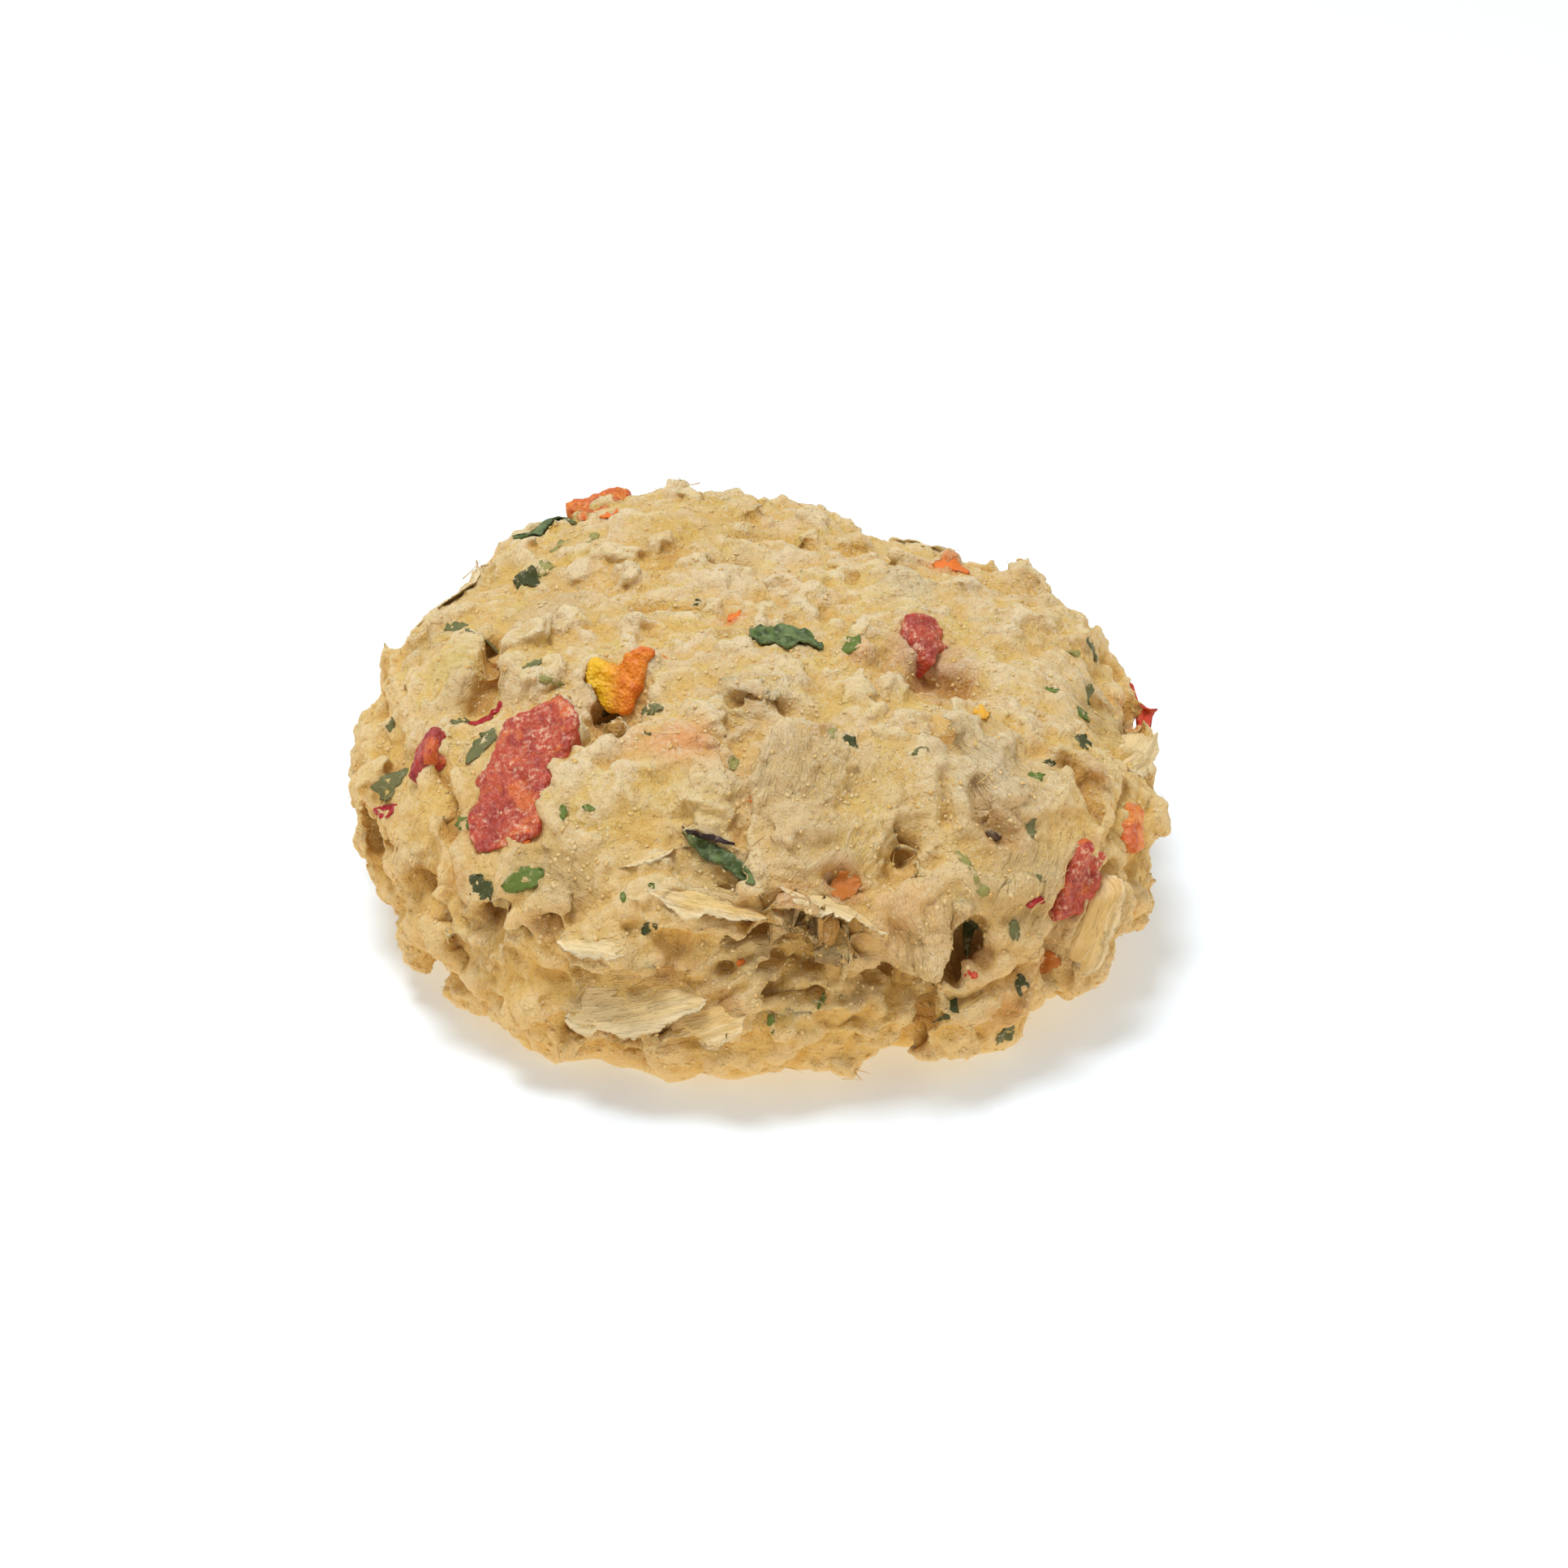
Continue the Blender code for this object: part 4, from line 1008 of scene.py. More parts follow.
def lay_strands(mesh, packed):
    """Keeps in each vertex how fibrous it is, and its place along and across the strands in millimetres."""
    places = mesh_arrays(mesh)[0]
    strongest = np.zeros(len(places))
    second = np.zeros(len(places))
    strand = np.zeros((len(places), 3))
    for number, (zone, place, normal) in enumerate(strand_zones(packed)):
        along, across, _ = turned_axes(place, normal, zone.heading)
        offset = (places - np.array(place)) / MM
        here = zone.strength * np.exp(-((np.linalg.norm(offset, axis=1) / zone.radius) ** 2))
        wins = here > strongest
        second = np.where(wins, strongest, np.maximum(second, here))
        strongest = np.maximum(strongest, here)
        own = np.stack([offset @ along, offset @ across, np.full(len(places), 9.0 * number)], axis=1)
        strand[wins] = own[wins]
    add_values(mesh, "fibrous", np.clip(1.7 * (strongest - second), 0, 1))
    mesh.attributes.new("strand", "FLOAT_VECTOR", "POINT").data.foreach_set("vector", strand.ravel())


def carved_depths(mesh, plain):
    """How deep each vertex lies in the placed folds, in millimetres."""
    places = mesh_arrays(mesh)[0] / MM
    depths = np.zeros(len(places))
    for stroke in STROKES:
        path = [np.array(seen(plain, x, y)[0]) / MM for x, y in stroke.path]
        near = np.full(len(places), 99.0)
        for start, end in zip(path, path[1:]):
            along = end - start
            share = np.clip((places - start) @ along / max(along @ along, 1e-6), 0, 1)
            near = np.minimum(near, np.linalg.norm(places - start - share[:, None] * along, axis=1))
        depths += stroke.depth * FOLD_DEPTH * np.exp(-((near / stroke.width) ** 2))
    return depths


def patty_mesh():
    """The patty's packed form with its pockets filled, and with the relief and stains of the real crumb."""
    whole = merged_copy("crab_cake")
    for node in (*PEPPERS, *LEAVES):
        fill = merged_copy(node)
        centre = sum((v.co for v in fill.verts), Vector()) / len(fill.verts)
        shift = (PATTY_MIDDLE - centre).normalized() * POCKET_SINK
        fill.transform(Matrix.Translation(shift))
        shell = mesh_of(fill, node)
        whole.from_mesh(shell)
        bpy.data.meshes.remove(shell)
    packed = BVHTree.FromBMesh(whole)
    add_clods(whole, packed)
    for flake, place, normal, seed in placed_flakes(packed):
        flake_sheet(whole, (packed,), flake, place, normal, seed, body=True)
    mesh = skinned(whole, SKIN_GRID, SKIN_SOFTENING)
    flatten_foot(mesh)
    plain = search_tree(mesh)
    add_values(mesh, "carved", carved_depths(mesh, plain))
    lay_strands(mesh, packed)
    holder = placed("skin", mesh)
    holder.modifiers.new("relief", "NODES").node_group = relief_tree()
    mesh = evaluated(holder)
    places, normals, edges, counts = mesh_arrays(mesh)
    for _ in range(EVENING_ROUNDS):
        places = 0.65 * places + 0.35 * neighbour_mean(places, edges, counts)
    flat = places[:, 2] < FLAT
    low = 0.6 * np.clip(1.3 - places[:, 2:] / FOOT_SOFT, 0, 1)
    for _ in range(FOOT_ROUNDS):
        places = places + low * (neighbour_mean(places, edges, counts) - places)
        places[flat, 2] = 0
    places[:, 2] = np.maximum(0, places[:, 2])
    mesh.vertices.foreach_set("co", places.ravel())
    mesh.update()
    # How far each vertex lies below the softened surface. From this, the crumb finish paints shade in the
    # hollows and highlights on the peaks.
    hollow = 0.6 * hollowness(mesh, NARROW_ROUNDS) + 0.6 * hollowness(mesh, WIDE_ROUNDS)
    add_values(mesh, "hollow", hollow)
    numbers = mesh.attributes.new("vertex", "INT", "POINT")
    numbers.data.foreach_set("value", range(len(mesh.vertices)))
    stain_and_shade_crumb(mesh, plain)
    return mesh, packed


def halved(mesh, front):
    """The skin before or behind the split, with the normals of the whole so that no seam shows."""
    bm = bmesh.new()
    bm.from_mesh(mesh)
    away = [f for f in bm.faces if (f.calc_center_median().y < HALVES_MEET) != front]
    bmesh.ops.delete(bm, geom=away, context="FACES")
    old = bm.verts.layers.int["vertex"]
    kept = [v[old] for v in bm.verts]
    half = mesh_of(bm, "half")
    half.shade_smooth()
    normals = [mesh.vertices[i].normal for i in kept]
    half.normals_split_custom_set_from_vertices(normals)
    return half


def stain_and_shade_crumb(mesh, plain):
    """Keeps the stains and the painted shade in the vertices: the colour, with its strength as alpha."""
    count = len(mesh.vertices)
    places = mesh_arrays(mesh)[0] / MM
    ragged = kept_values(mesh, "ragged")
    colour = np.zeros((count, 3))
    strength = np.zeros(count)
    for stain in STAINS_AND_SHADE:
        spot = np.array(seen(plain, stain.x, stain.y)[0]) / MM
        reach = np.linalg.norm(places - spot, axis=1) / stain.radius + 0.35 * ragged
        here = stain.strength * np.exp(-np.maximum(0, reach) ** 2.4)
        total = strength + here * (1 - strength)
        share = np.divide(here, np.maximum(total, 1e-6))
        colour += (np.array(STAIN_AND_SHADE_COLOURS[stain.colour]) - colour) * np.minimum(1, share)[:, None]
        strength = total
    layer = mesh.color_attributes.new("stain", "FLOAT_COLOR", "POINT")
    layer.data.foreach_set("color", np.hstack([colour, strength[:, None]]).ravel())


def surface_axes(place, normal):
    """Axes right, up and outward of a spot on the patty. Outward leans away from the patty's middle."""
    outward = (normal + 0.9 * (place - LEAN_MIDDLE).normalized()).normalized()
    right = (RIGHT - RIGHT.dot(outward) * outward).normalized()
    return right, outward.cross(right), outward


def draped_heights(tree, place, axes, spots, evening):
    """How high a surface lies over each point of a sheet's grid, evened out as a stiff sheet would be."""
    right, up, outward = axes
    heights = np.zeros(spots.shape[:2])
    for i, line in enumerate(spots):
        for j, (x, y) in enumerate(line):
            start = place + right * x + up * y + outward * HOVER * MM
            hit, _, _, gap = tree.ray_cast(start, -outward, DROP * MM)
            heights[i, j] = HOVER * MM - gap if hit else -0.12 * (x * x + y * y) / (2 * MM)
    for _ in range(evening):
        padded = np.pad(heights, 1, mode="edge")
        around = padded[:-2, 1:-1] + padded[2:, 1:-1] + padded[1:-1, :-2] + padded[1:-1, 2:]
        heights = 0.5 * heights + 0.125 * around
    return heights


def add_sheet(bm, place, axes, spots, tops, thicknesses, values):
    """Adds a closed thin solid from a grid of spots and heights. values holds what each vertex keeps."""
    columns, rows = tops.shape
    uv = bm.loops.layers.uv.verify()
    layers = []
    coordinates = {}
    for side in (0, 1):
        grid = []
        for i in range(columns):
            line = []
            for j in range(rows):
                x, y = spots[i, j]
                height = tops[i, j] - side * thicknesses[i, j]
                vert = bm.verts.new(place + axes[0] * x + axes[1] * y + axes[2] * height)
                for layer, kept in values:
                    vert[layer] = kept[i, j] if isinstance(kept, np.ndarray) else kept
                coordinates[vert] = (x / MM, y / MM)
                line.append(vert)
            grid.append(line)
        layers.append(grid)
    upper, lower = layers
    faces = []
    for i in range(columns - 1):
        for j in range(rows - 1):
            faces.append(bm.faces.new((upper[i][j], upper[i + 1][j], upper[i + 1][j + 1], upper[i][j + 1])))
            faces.append(bm.faces.new((lower[i][j + 1], lower[i + 1][j + 1], lower[i + 1][j], lower[i][j])))
    rim = [(i, 0) for i in range(columns)] + [(columns - 1, j) for j in range(1, rows)]
    rim += [(i, rows - 1) for i in range(columns - 2, -1, -1)] + [(0, j) for j in range(rows - 2, 0, -1)]
    for (i, j), (k, m) in zip(rim, rim[1:] + rim[:1]):
        faces.append(bm.faces.new((lower[i][j], lower[k][m], upper[k][m], upper[i][j])))
    for face in faces:
        for loop in face.loops:
            loop[uv].uv = coordinates[loop.vert]


def turned_axes(place, normal, heading):
    """A spot's axes with the first turned in the surface by a heading in degrees, from level."""
    right, up, outward = surface_axes(place, normal)
    turn = math.radians(heading)
    right = right * math.cos(turn) + up * math.sin(turn)
    return right, outward.cross(right), outward


def random_phase(rng, reach=50):
    return Vector([rng.uniform(0, reach) for _ in range(3)])


def sheet_noise(phase):
    """Noise over a sheet, as a function of grids of x and y and the number of a layer."""

    def rough(x, y, layer):
        return np.vectorize(lambda a, b: noise.noise(Vector((a, b, layer)) + phase))(x, y)

    return rough


def flake_sheet(bm, trees, flake, place, normal, seed, body):
    """Adds one torn flake, sunk in along one side and free at the other.

    As a body it is a stout layer for the patty's own skin. Otherwise it is the thin sheet over that layer.
    """
    rng = random.Random(seed)
    rough = sheet_noise(random_phase(rng))
    skew = rng.uniform(-0.3, 0.3)
    blunt = rng.uniform(1.7, 3.2)
    axes = turned_axes(place, normal, flake.heading)
    columns = max(9, int(flake.length / 0.2))
    rows = max(6, int(flake.width / 0.3))
    u, v = np.meshgrid(np.linspace(-1, 1, columns), np.linspace(-1, 1, rows), indexing="ij")
    free = (1 - v) / 2
    free = free * free * (3 - 2 * free)

    wide = np.clip(1 - np.abs(u * 0.985 + skew * (1 - u * u)) ** blunt, 0.02, 1) ** 0.6
    tear = 0.8 * rough(u * 2.0, 0 * v, 0) + 0.55 * rough(u * 6.0, 0 * v, 3)
    tear -= 0.6 * np.abs(rough(u * 13.0, 0 * v, 5))
    x = u * flake.length / 2 * (1 + 0.12 * rough(0 * u, v * 2.5, 9))
    y = v * flake.width / 2 * wide * (1 + tear * flake.fringe * (1 - v) / 2)
    y += 0.16 * flake.width * rough(u * 1.6, 0 * v, 12)
    spots = np.stack([x, y], axis=-1) * MM
    if body:
        spots *= 0.94
    tip = np.clip((u - 0.1) / 0.9, 0, 1)
    held = np.clip((v - 0.2) / 0.8, 0, 1) + np.clip((np.abs(u) - 0.7) / 0.3, 0, 1) * (1 - free)
    ridges = 0.16 * rough(u * 1.2, v * flake.width * 1.1, 20)
    ridges += 0.07 * rough(u * 2.0, v * flake.width * 2.6, 24)
    waves = 0.35 * rough(u * 2.2, v * 1.3, 28) * free
    tops = draped_heights(trees[0], place, axes, spots, 3)
    tops += MM * (flake.lift * free**1.4 + flake.tip * tip**2 + waves)
    if body:
        tops -= 0.2 * MM * np.ones_like(tops)
        thicknesses = np.full_like(tops, 1.25 * MM)
    else:
        tops = np.maximum(tops, draped_heights(trees[1], place, axes, spots, 2))
        thicknesses = (0.42 - 0.26 * free) * MM
    tops += MM * (0.12 + ridges - 0.9 * held)
    values = []
    if not body:
        values.append((bm.verts.layers.float["edge"], np.maximum(free, np.abs(u) ** 6)))
        values.append((bm.verts.layers.float["pale"], flake.pale))
    add_sheet(bm, place, axes, spots, tops, thicknesses, values)


def side_flakes(tree):
    """Flakes round the sides and back, by a seeded rule."""
    rng = random.Random(SEED)
    start, end = SIDE_FLAKE_ARC
    for i in range(SIDE_FLAKES):
        azimuth = math.radians(start + (end - start) * (i + rng.random()) / SIDE_FLAKES)
        place, normal = round_side(tree, azimuth, rng.uniform(4, 24) * MM)
        length = rng.uniform(4.5, 10)
        flake = Flake(
            "side", 0, 0, rng.uniform(-60, 60), length, length * rng.uniform(0.3, 0.55),
            rng.uniform(0.5, 1.1), rng.uniform(0.2, 0.7), rng.uniform(0.5, 1.0),
            max(0, rng.uniform(-0.8, 0.8)),
        )
        yield flake, place, normal


def round_side(tree, azimuth, height):
    """The place and normal on a surface seen level from outside, at an azimuth and a height."""
    start = Vector((math.cos(azimuth) * OUTSIDE, math.sin(azimuth) * OUTSIDE, height))
    place, normal, _, _ = tree.ray_cast(start, Vector((-math.cos(azimuth), -math.sin(azimuth), 0)))
    return place, normal


def placed_flakes(packed):
    """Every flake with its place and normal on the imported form, and its seed."""
    for number, flake in enumerate(FLAKES):
        yield flake, *seen(packed, flake.x, flake.y), SEED + number
    for number, (flake, place, normal) in enumerate(side_flakes(packed)):
        yield flake, place, normal, SIDE_FLAKE_SEED + number


def crab_flakes(trees, made):
    bm = bmesh.new()
    bm.verts.layers.float.new("edge")
    bm.verts.layers.float.new("pale")
    for flake, place, normal, seed in placed_flakes(trees[0]):
        if flake.pale > 0:
            flake_sheet(bm, trees, flake, place, normal, seed, body=False)
    return new_piece("crab_flakes", mesh_of(bm, "crab_flakes"), made)


# Where a dice spreads over the crumb beside its solid: node, pixel, length, width and heading
SPREADS = (
    ("red_pepper_front", 640, 905, 6.0, 4.6, 30),
    ("red_pepper_front", 618, 950, 5.4, 4.4, 70),
    ("red_pepper_front", 655, 985, 5.0, 3.6, 50),
    ("orange_pepper_front", 750, 832, 3.6, 2.6, 20),
    ("orange_pepper_front", 796, 812, 3.6, 1.6, 35),
    ("orange_pepper_back", 722, 628, 4.4, 2.0, 5),
    ("red_pepper_top", 1150, 790, 3.4, 2.4, 60),
    ("red_pepper_right", 1345, 1085, 5.4, 2.0, 78),
    ("red_pepper_left", 525, 925, 3.6, 1.4, 20),
    ("red_pepper_left", 524, 943, 3.6, 1.4, 28),
)


def pepper_pieces(tree, finishes):
    """Each dice of pepper in its packed place, its faces rounded and roughened."""
    for number, (node, kind) in enumerate(PEPPERS.items()):
        bm = merged_copy(node)
        for spread in SPREADS:
            if spread[0] == node:
                place, normal = seen(tree, spread[1], spread[2])
                seed = SPREAD_SEED + number
                leaf_sheet(bm, tree, place, normal, *spread[3:], seed, lift=0.15, thickness=0.7)
        mesh = skinned(bm, 0.24 * MM, 4)
        moves = []
        for vertex in mesh.vertices:
            rough = 0.45 * noise.noise(vertex.co / (2.2 * MM)) + 0.22 * noise.noise(vertex.co / (0.9 * MM))
            moves.append(vertex.normal * (rough + 0.14 * noise.noise(vertex.co / (0.45 * MM))) * MM)
        for vertex, move in zip(mesh.vertices, moves):
            vertex.co += move
        piece = new_piece(node + "_dice", mesh, finishes[kind])
        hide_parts(node)


def leaf_sheet(bm, tree, place, normal, length, width, heading, seed, colour=None, lift=0.25, thickness=0.2):
    """Adds a thin crinkled leaf with a toothed outline that lies on the surface."""
    rough = sheet_noise(random_phase(random.Random(seed)))
    axes = turned_axes(place, normal, heading)
    columns = max(7, int(length / 0.22))
    rows = max(5, int(width / 0.24))
    u, v = np.meshgrid(np.linspace(-1, 1, columns), np.linspace(-1, 1, rows), indexing="ij")
    side = (v > 0) * 1.0

    wide = np.clip(1 - np.abs(u) ** 2.2, 0.12, 1) ** 0.6
    teeth = 1 + 0.5 * rough(u * 2.0, 0.7 * side, 0) + min(0.4, 0.09 * length) * rough(u * 6.0, 3.7 * side, 2)
    x = u * length / 2
    y = v * width / 2 * wide * teeth + 0.18 * width * rough(u * 1.3, 0 * v, 7)
    spots = np.stack([x, y], axis=-1) * MM
    crinkle = 0.30 * rough(u * length * 0.7, v * width * 0.7, 30)
    crinkle += 0.5 * np.abs(v) ** 3 * rough(u * 2.5, 5 * side, 8)
    tops = draped_heights(tree, place, axes, spots, 3) + (lift + crinkle) * MM
    values = [(bm.verts.layers.float_color["own"], (*colour, 1))] if colour else []
    add_sheet(bm, place, axes, spots, tops, np.full_like(tops, thickness * MM), values)


# Leaves that are nodes: length, width and heading of each
LEAF_SIZES = {
    "parsley_leaf_top": (6.4, 4.8, -6),
    "parsley_leaf_front": (8.2, 1.6, -34),
    "parsley_leaf_back": (5.6, 3.6, 8),
}


def parsley_leaves(tree, made):
    for number, node in enumerate(LEAVES):
        low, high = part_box(node)
        place, normal, _, _ = tree.find_nearest((low + high) / 2)
        bm = bmesh.new()
        length, width, heading = LEAF_SIZES[node]
        leaf_sheet(bm, tree, place, normal, length, width, heading, LEAF_SEED + number, lift=0.45)
        piece = new_piece(node + "_green", mesh_of(bm, node), made)
        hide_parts(node)


def parsley_flecks(tree, made):
    """The small flecks, where the picture has them in front and by a seeded rule elsewhere."""
    rng = random.Random(SEED + 1)
    bm = bmesh.new()
    bm.verts.layers.float_color.new("own")
    for number, fleck in enumerate(FLECKS):
        place, normal = seen(tree, fleck.x, fleck.y)
        width = fleck.width or fleck.length * rng.uniform(0.4, 0.65)
        heading = fleck.heading or rng.uniform(-90, 90)
        lift = 0.35 if fleck.width else 0.03 + 0.03 * min(4, fleck.length)
        leaf_sheet(
            bm, tree, place, normal, fleck.length, width, heading, FLECK_SEED + number,
            FLECK_COLOURS[fleck.shade], lift=lift,
        )
    shades = [FLECK_COLOURS[shade] for shade in SIDE_FLECK_SHADES]
    for number in range(SIDE_FLECKS):
        azimuth = math.radians(rng.uniform(*SIDE_FLECK_ARC))
        place, normal = round_side(tree, azimuth, rng.uniform(2, 17) * MM)
        length = rng.uniform(0.8, 2.6)
        leaf_sheet(
            bm, tree, place, normal, length, length * rng.uniform(0.4, 0.7), rng.uniform(-90, 90),
            SIDE_FLECK_SEED + number, rng.choice(shades), lift=0.04,
        )
    return new_piece("parsley_flecks", mesh_of(bm, "parsley_flecks"), made)


def pepper_bits(tree, made):
    bm = bmesh.new()
    bm.verts.layers.float_color.new("own")
    for number, bit in enumerate(BITS):
        place, normal = seen(tree, bit.x, bit.y)
        leaf_sheet(
            bm, tree, place, normal, bit.length, bit.width, bit.heading, BIT_SEED + number,
            BIT_COLOURS[bit.colour], lift=0.12,
        )
    return new_piece("pepper_bits", mesh_of(bm, "pepper_bits"), made)


# Scattered grains

# The piece's name, how many a square millimetre, the smallest and largest size in millimetres, the lean in
# radians, what the patty keeps where they lie, and the seed
Grains = namedtuple("Grains", "name density smallest largest lean where seed")
CRUMBS = Grains("loose_crumbs", 0.40, 0.2, 0.6, 0.6, "crumbs", 1)
THREADS = Grains("crab_threads", 0.10, 0.9, 2.8, 0.3, "threads", 2)


def grain_shapes(name, count, stretch, rough, subdivisions):
    """A hidden collection of uneven grains, 1 mm across before they are scaled."""
    group = bpy.data.collections.new(name)
    rng = random.Random(SEED + count)
    for number in range(count):
        bm = bmesh.new()
        bmesh.ops.create_icosphere(bm, subdivisions=subdivisions, radius=0.5 * MM)
        offset = random_phase(rng, 90)
        for vertex in bm.verts:
            unit = vertex.co / (0.5 * MM)
            vertex.co *= 1 + rough * noise.noise(unit * 1.3 + offset)
            vertex.co = Vector([c * s for c, s in zip(vertex.co, stretch)])
        mesh = mesh_of(bm, f"{name}_{number}")
        mesh.shade_smooth()
        group.objects.link(bpy.data.objects.new(f"{name}_{number}", mesh))
    return group


def thread_shapes(name, count):
    """A hidden collection of curved threads of crab, 1 mm long before they are scaled."""
    group = bpy.data.collections.new(name)
    rng = random.Random(SEED + 9)
    stations, sides = 7, 3
    for number in range(count):
        bend = rng.uniform(0.10, 0.35)
        twist = rng.uniform(-0.15, 0.15)
        bm = bmesh.new()
        rings = []
        for i in range(stations):
            t = i / (stations - 1)
            middle = Vector((t - 0.5, twist * math.sin(3 * t), bend * t * t))
            radius = 0.026 * (1 - t) ** 0.5 + 0.002
            ring = []
            for k in range(sides):
                angle = 2 * math.pi * k / sides
                spoke = Vector((0, math.cos(angle), math.sin(angle)))
                ring.append(bm.verts.new((middle + spoke * radius) * MM))
            rings.append(ring)
        for near, far in zip(rings, rings[1:]):
            for k in range(sides):
                m = (k + 1) % sides
                bm.faces.new((near[k], near[m], far[m], far[k]))
        bm.faces.new(rings[0][::-1])
        bm.faces.new(rings[-1])
        bmesh.ops.recalc_face_normals(bm, faces=bm.faces)
        mesh = mesh_of(bm, f"{name}_{number}")
        mesh.shade_smooth()
        group.objects.link(bpy.data.objects.new(f"{name}_{number}", mesh))
    return group


def scatter_tree():
    """Geometry Nodes that set grains from a collection on a surface, as denser as an attribute says."""
    tree = bpy.data.node_groups.new("scattered_grains", "GeometryNodeTree")
    for name, kind in (
        ("Surface", "NodeSocketGeometry"),
        ("Grains", "NodeSocketCollection"),
        ("Per square millimetre", "NodeSocketFloat"),
        ("Smallest", "NodeSocketFloat"),
        ("Largest", "NodeSocketFloat"),
        ("Lean", "NodeSocketFloat"),
        ("Where", "NodeSocketString"),
        ("Finish", "NodeSocketMaterial"),
        ("Seed", "NodeSocketInt"),
    ):
        tree.interface.new_socket(name, in_out="INPUT", socket_type=kind)
    tree.interface.new_socket("Grains", in_out="OUTPUT", socket_type="NodeSocketGeometry")
    wires = Wire(tree)
    given = wires.node("NodeGroupInput")
    where = wires.kept(given.output("Where"))
    density = given.output("Per square millimetre") * (1 / (MM * MM)) * where
    points = wires.node(
        "GeometryNodeDistributePointsOnFaces",
        {"distribute_method": "RANDOM"},
        {"Mesh": given, "Density": density, "Seed": given.output("Seed")},
        "Points",
    )
    kinds = wires.node(
        "GeometryNodeCollectionInfo",
        None,
        {"Collection": given.output("Grains"), "Separate Children": True, "Reset Children": True},
    )
    lean = given.output("Lean")
    least = wires.node("ShaderNodeCombineXYZ", None, {0: 0.0 - lean, 1: 0.0 - lean, 2: 0.0})
    most = wires.node("ShaderNodeCombineXYZ", None, {0: lean, 1: lean, 2: 2 * math.pi})
    turns = {0: least, 1: most, "Seed": 3}
    turn = wires.node("FunctionNodeRandomValue", {"data_type": "FLOAT_VECTOR"}, turns)
    turned = wires.node(
        "FunctionNodeRotateRotation",
        {"rotation_space": "LOCAL"},
        {0: points.output("Rotation"), 1: wires.node("FunctionNodeEulerToRotation", None, {0: turn})},
    )
    size = wires.node(
        "FunctionNodeRandomValue",
        {"data_type": "FLOAT"},
        {2: given.output("Smallest"), 3: given.output("Largest"), "Seed": 5},
        1,
    )
    grains = wires.node(
        "GeometryNodeInstanceOnPoints",
        None,
        {"Points": points, "Instance": kinds, "Pick Instance": True, "Rotation": turned, "Scale": size},
    )
    real = wires.node("GeometryNodeRealizeInstances", None, {0: grains})
    done = wires.node("GeometryNodeSetMaterial", None, {"Geometry": real, "Material": given.output("Finish")})
    wires.node("NodeGroupOutput", None, {0: done})
    return tree


def scattered(tree, surface, grains, shapes, made):
    """Scatters grains over a surface and makes them one plain mesh."""
    holder = placed(grains.name, surface.copy())
    modifier = holder.modifiers.new("grains", "NODES")
    modifier.node_group = tree
    values = {
        "Grains": shapes,
        "Per square millimetre": grains.density,
        "Smallest": grains.smallest,
        "Largest": grains.largest,
        "Lean": grains.lean,
        "Where": grains.where,
        "Finish": made,
        "Seed": grains.seed,
    }
    for item in tree.interface.items_tree:
        if item.in_out == "INPUT" and item.name in values:
            modifier[item.identifier] = values[item.name]
    return new_piece(grains.name, evaluated(holder), made)


def mark_grain_zones(mesh):
    """Where each kind of grain lies: crumbs off the foot, threads more on the walls and by edges."""
    places, normals, _, _ = mesh_arrays(mesh)
    height, slope = places[:, 2] / MM, normals[:, 2]
    patches = kept_values(mesh, "patches")
    off_foot = np.clip((height - 0.6) / 1.0, 0, 1) * (slope > -0.75)
    front = np.where(places[:, 1] < 0, 1.2, 0.7)
    add_values(mesh, "crumbs", front * off_foot * np.clip(0.75 + 1.2 * patches, 0.15, 1.5))
    steep = np.clip(1.2 - 0.7 * slope, 0.4, 1.2)
    add_values(mesh, "threads", off_foot * np.clip(0.4 - 1.6 * patches, 0, 1.2) * steep)


# The scene

# Light from all round by height, the paper's own glow, and each lamp's place, size and power
LIGHT_ABOVE = (0.50, 0.505, 0.51)
LIGHT_LEVEL = (0.61, 0.58, 0.53)
LIGHT_BELOW = (1.95, 1.62, 1.18)
LIGHT_UNDER = (0.45, 0.34, 0.22)
PAPER_GLOW = 0.24
LAMPS = (("key", Vector((-0.09, -0.03, 0.60)), 0.24, 2.35),)
# The paper's colour and that of its glow, its half width in metres, and how far it lies below the foot
PAPER = (0.80, 0.90, 1.0, 1)
GLOW = (0.90, 0.96, 1, 1)
PAPER_REACH = 3
PAPER_DROP = 0.05 * MM
SENSOR = 36


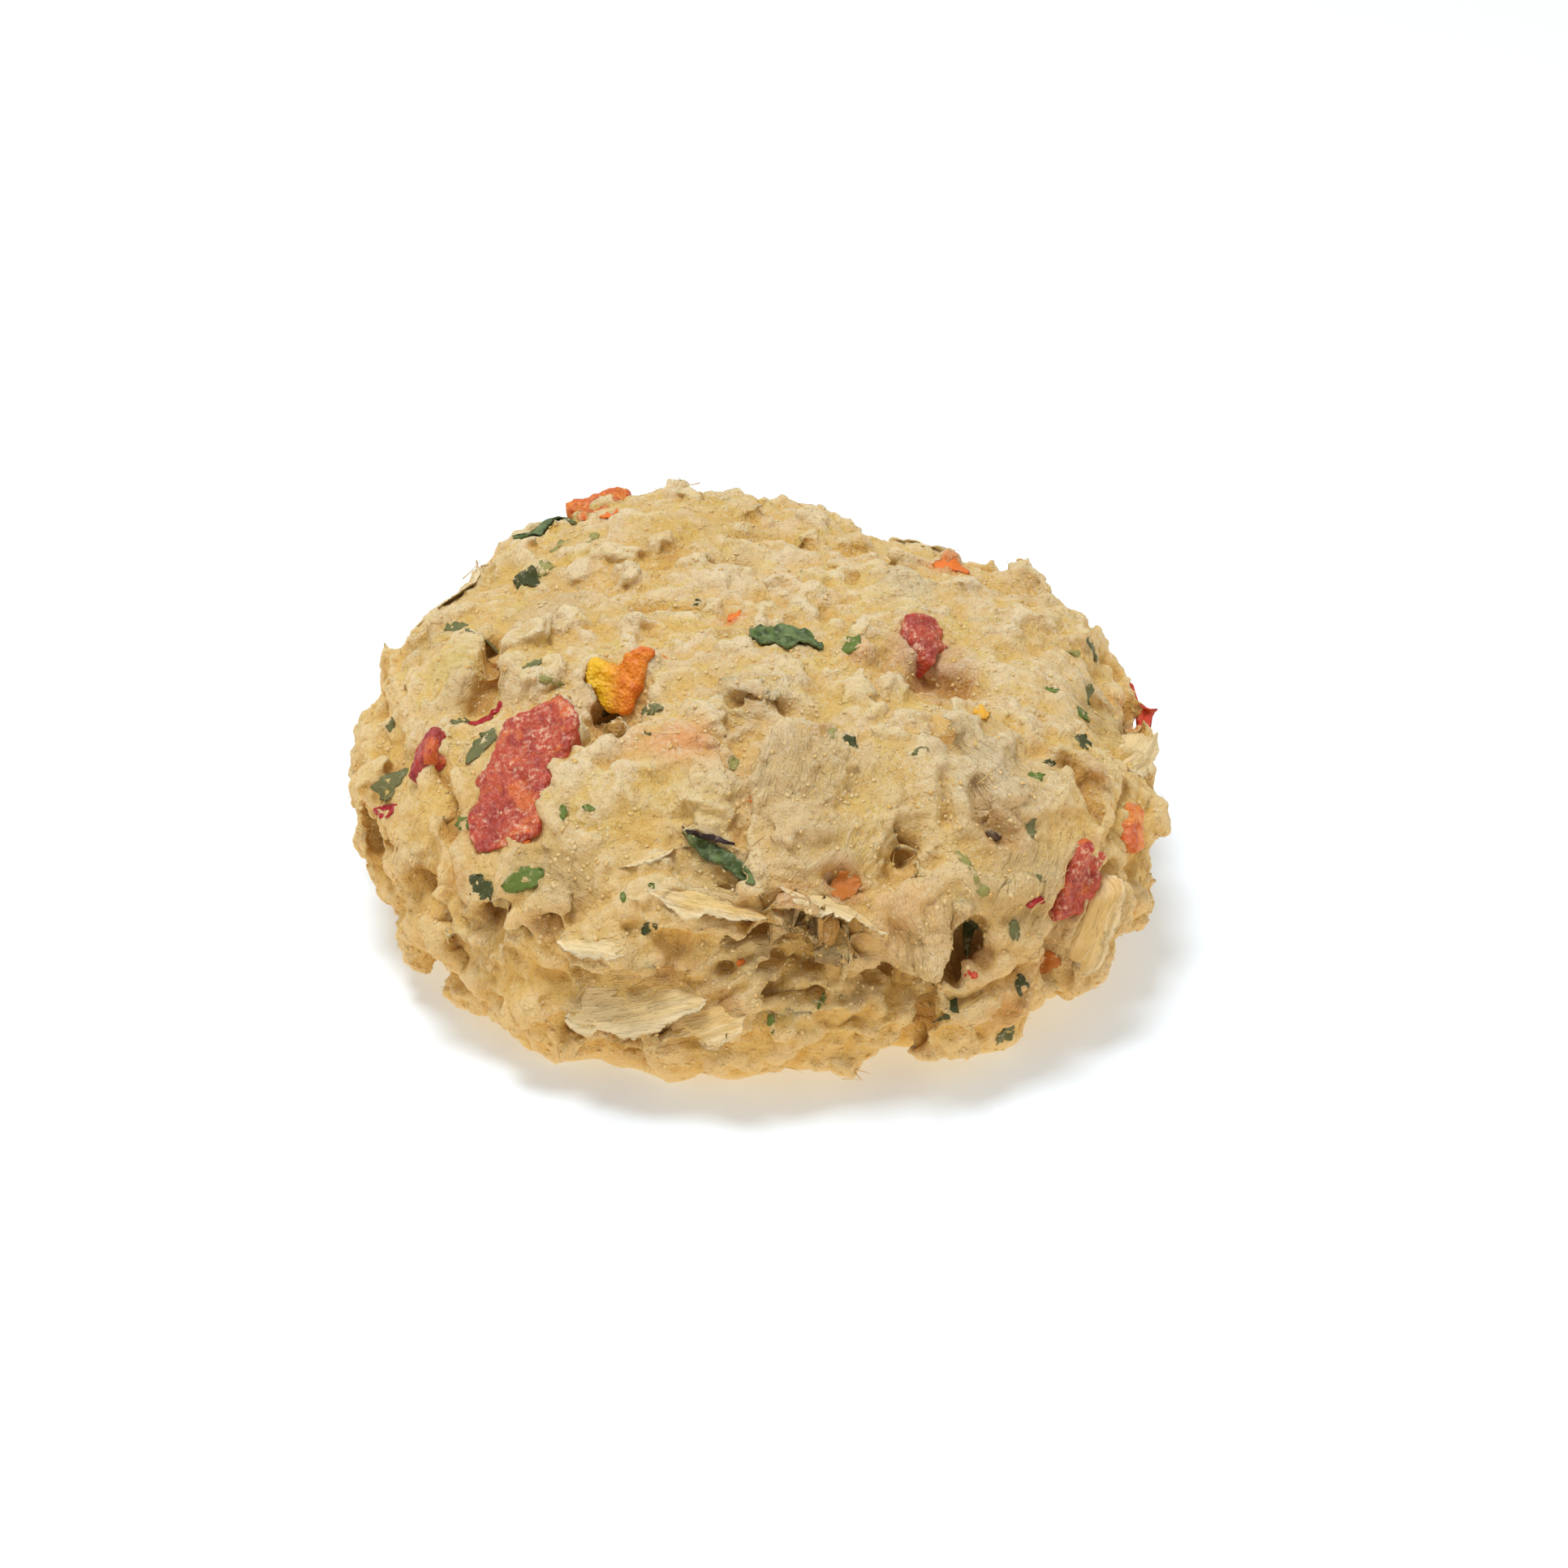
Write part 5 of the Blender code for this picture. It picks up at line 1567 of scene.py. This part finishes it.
def studio():
    scene = bpy.context.scene
    data = bpy.data.cameras.new("camera")
    camera = placed("camera", data)
    camera.location = TARGET + BACK * DISTANCE
    camera.rotation_mode = "QUATERNION"
    camera.rotation_quaternion = (-BACK).to_track_quat("-Z", "Y")
    data.sensor_width = SENSOR
    data.lens = SENSOR / VIEW_WIDTH * DISTANCE
    data.clip_start = 0.01
    scene.camera = camera

    bm = bmesh.new()
    bmesh.ops.create_grid(bm, x_segments=1, y_segments=1, size=PAPER_REACH)
    floor = placed("floor", mesh_of(bm, "floor"))
    floor.location.z = -PAPER_DROP
    paper = bpy.data.materials.new("white_paper")
    paper.use_nodes = True
    shader = paper.node_tree.nodes["Principled BSDF"]
    shader.inputs["Base Color"].default_value = PAPER
    shader.inputs["Roughness"].default_value = 0.9
    shader.inputs["Specular IOR Level"].default_value = 0.1
    shader.inputs["Emission Color"].default_value = GLOW
    shader.inputs["Emission Strength"].default_value = PAPER_GLOW
    floor.data.materials.append(paper)
    floor.visible_diffuse = False
    floor.visible_shadow = False

    world = bpy.data.worlds.new("soft_light")
    world.use_nodes = True
    wires = Wire(world.node_tree)
    height = wires.node("ShaderNodeTexCoord", output="Generated").axis(2)
    light = wires.mixed(LIGHT_UNDER, LIGHT_BELOW, height.between(-0.95, -0.45))
    light = wires.mixed(light, LIGHT_LEVEL, height.between(-0.4, 0.05))
    light = wires.mixed(light, LIGHT_ABOVE, height.between(0.1, 0.95))
    world.node_tree.links.new(light.socket, world.node_tree.nodes["Background"].inputs["Color"])
    scene.world = world
    scene.view_settings.view_transform = "Standard"
    for name, place, size, power in LAMPS:
        data = bpy.data.lights.new(name, "AREA")
        data.shape = "DISK"
        data.size = size
        data.energy = power
        lamp = placed(name, data)
        lamp.location = place
        lamp.rotation_mode = "QUATERNION"
        lamp.rotation_quaternion = (PATTY_MIDDLE - lamp.location).to_track_quat("-Z", "Y")


def main():
    crumb = crumb_finish()
    flake = flake_finish()
    pepper = {name: pepper_finish(kind) for name, kind in PEPPER_FINISHES.items()}
    mesh, packed = patty_mesh()
    mark_grain_zones(mesh)
    for half, front in (("patty_front", True), ("patty_back", False)):
        patty = new_piece(half, halved(mesh, front), crumb)
        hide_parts("crab_cake")
    tree = search_tree(mesh)
    crab_flakes((packed, tree), flake)
    pepper_pieces(tree, pepper)
    parsley_leaves(tree, leaf_finish())
    parsley_flecks(tree, coloured_finish("parsley_fleck", 0.5, 0.5))
    pepper_bits(tree, coloured_finish("pepper_bit", 0.4, 0.45))
    tree = scatter_tree()
    scattered(tree, mesh, CRUMBS, grain_shapes("crumb", 6, (1.0, 0.85, 0.6), 0.7, 1), grain_finish())
    scattered(tree, mesh, THREADS, thread_shapes("thread", 6), flake)
    studio()


main()
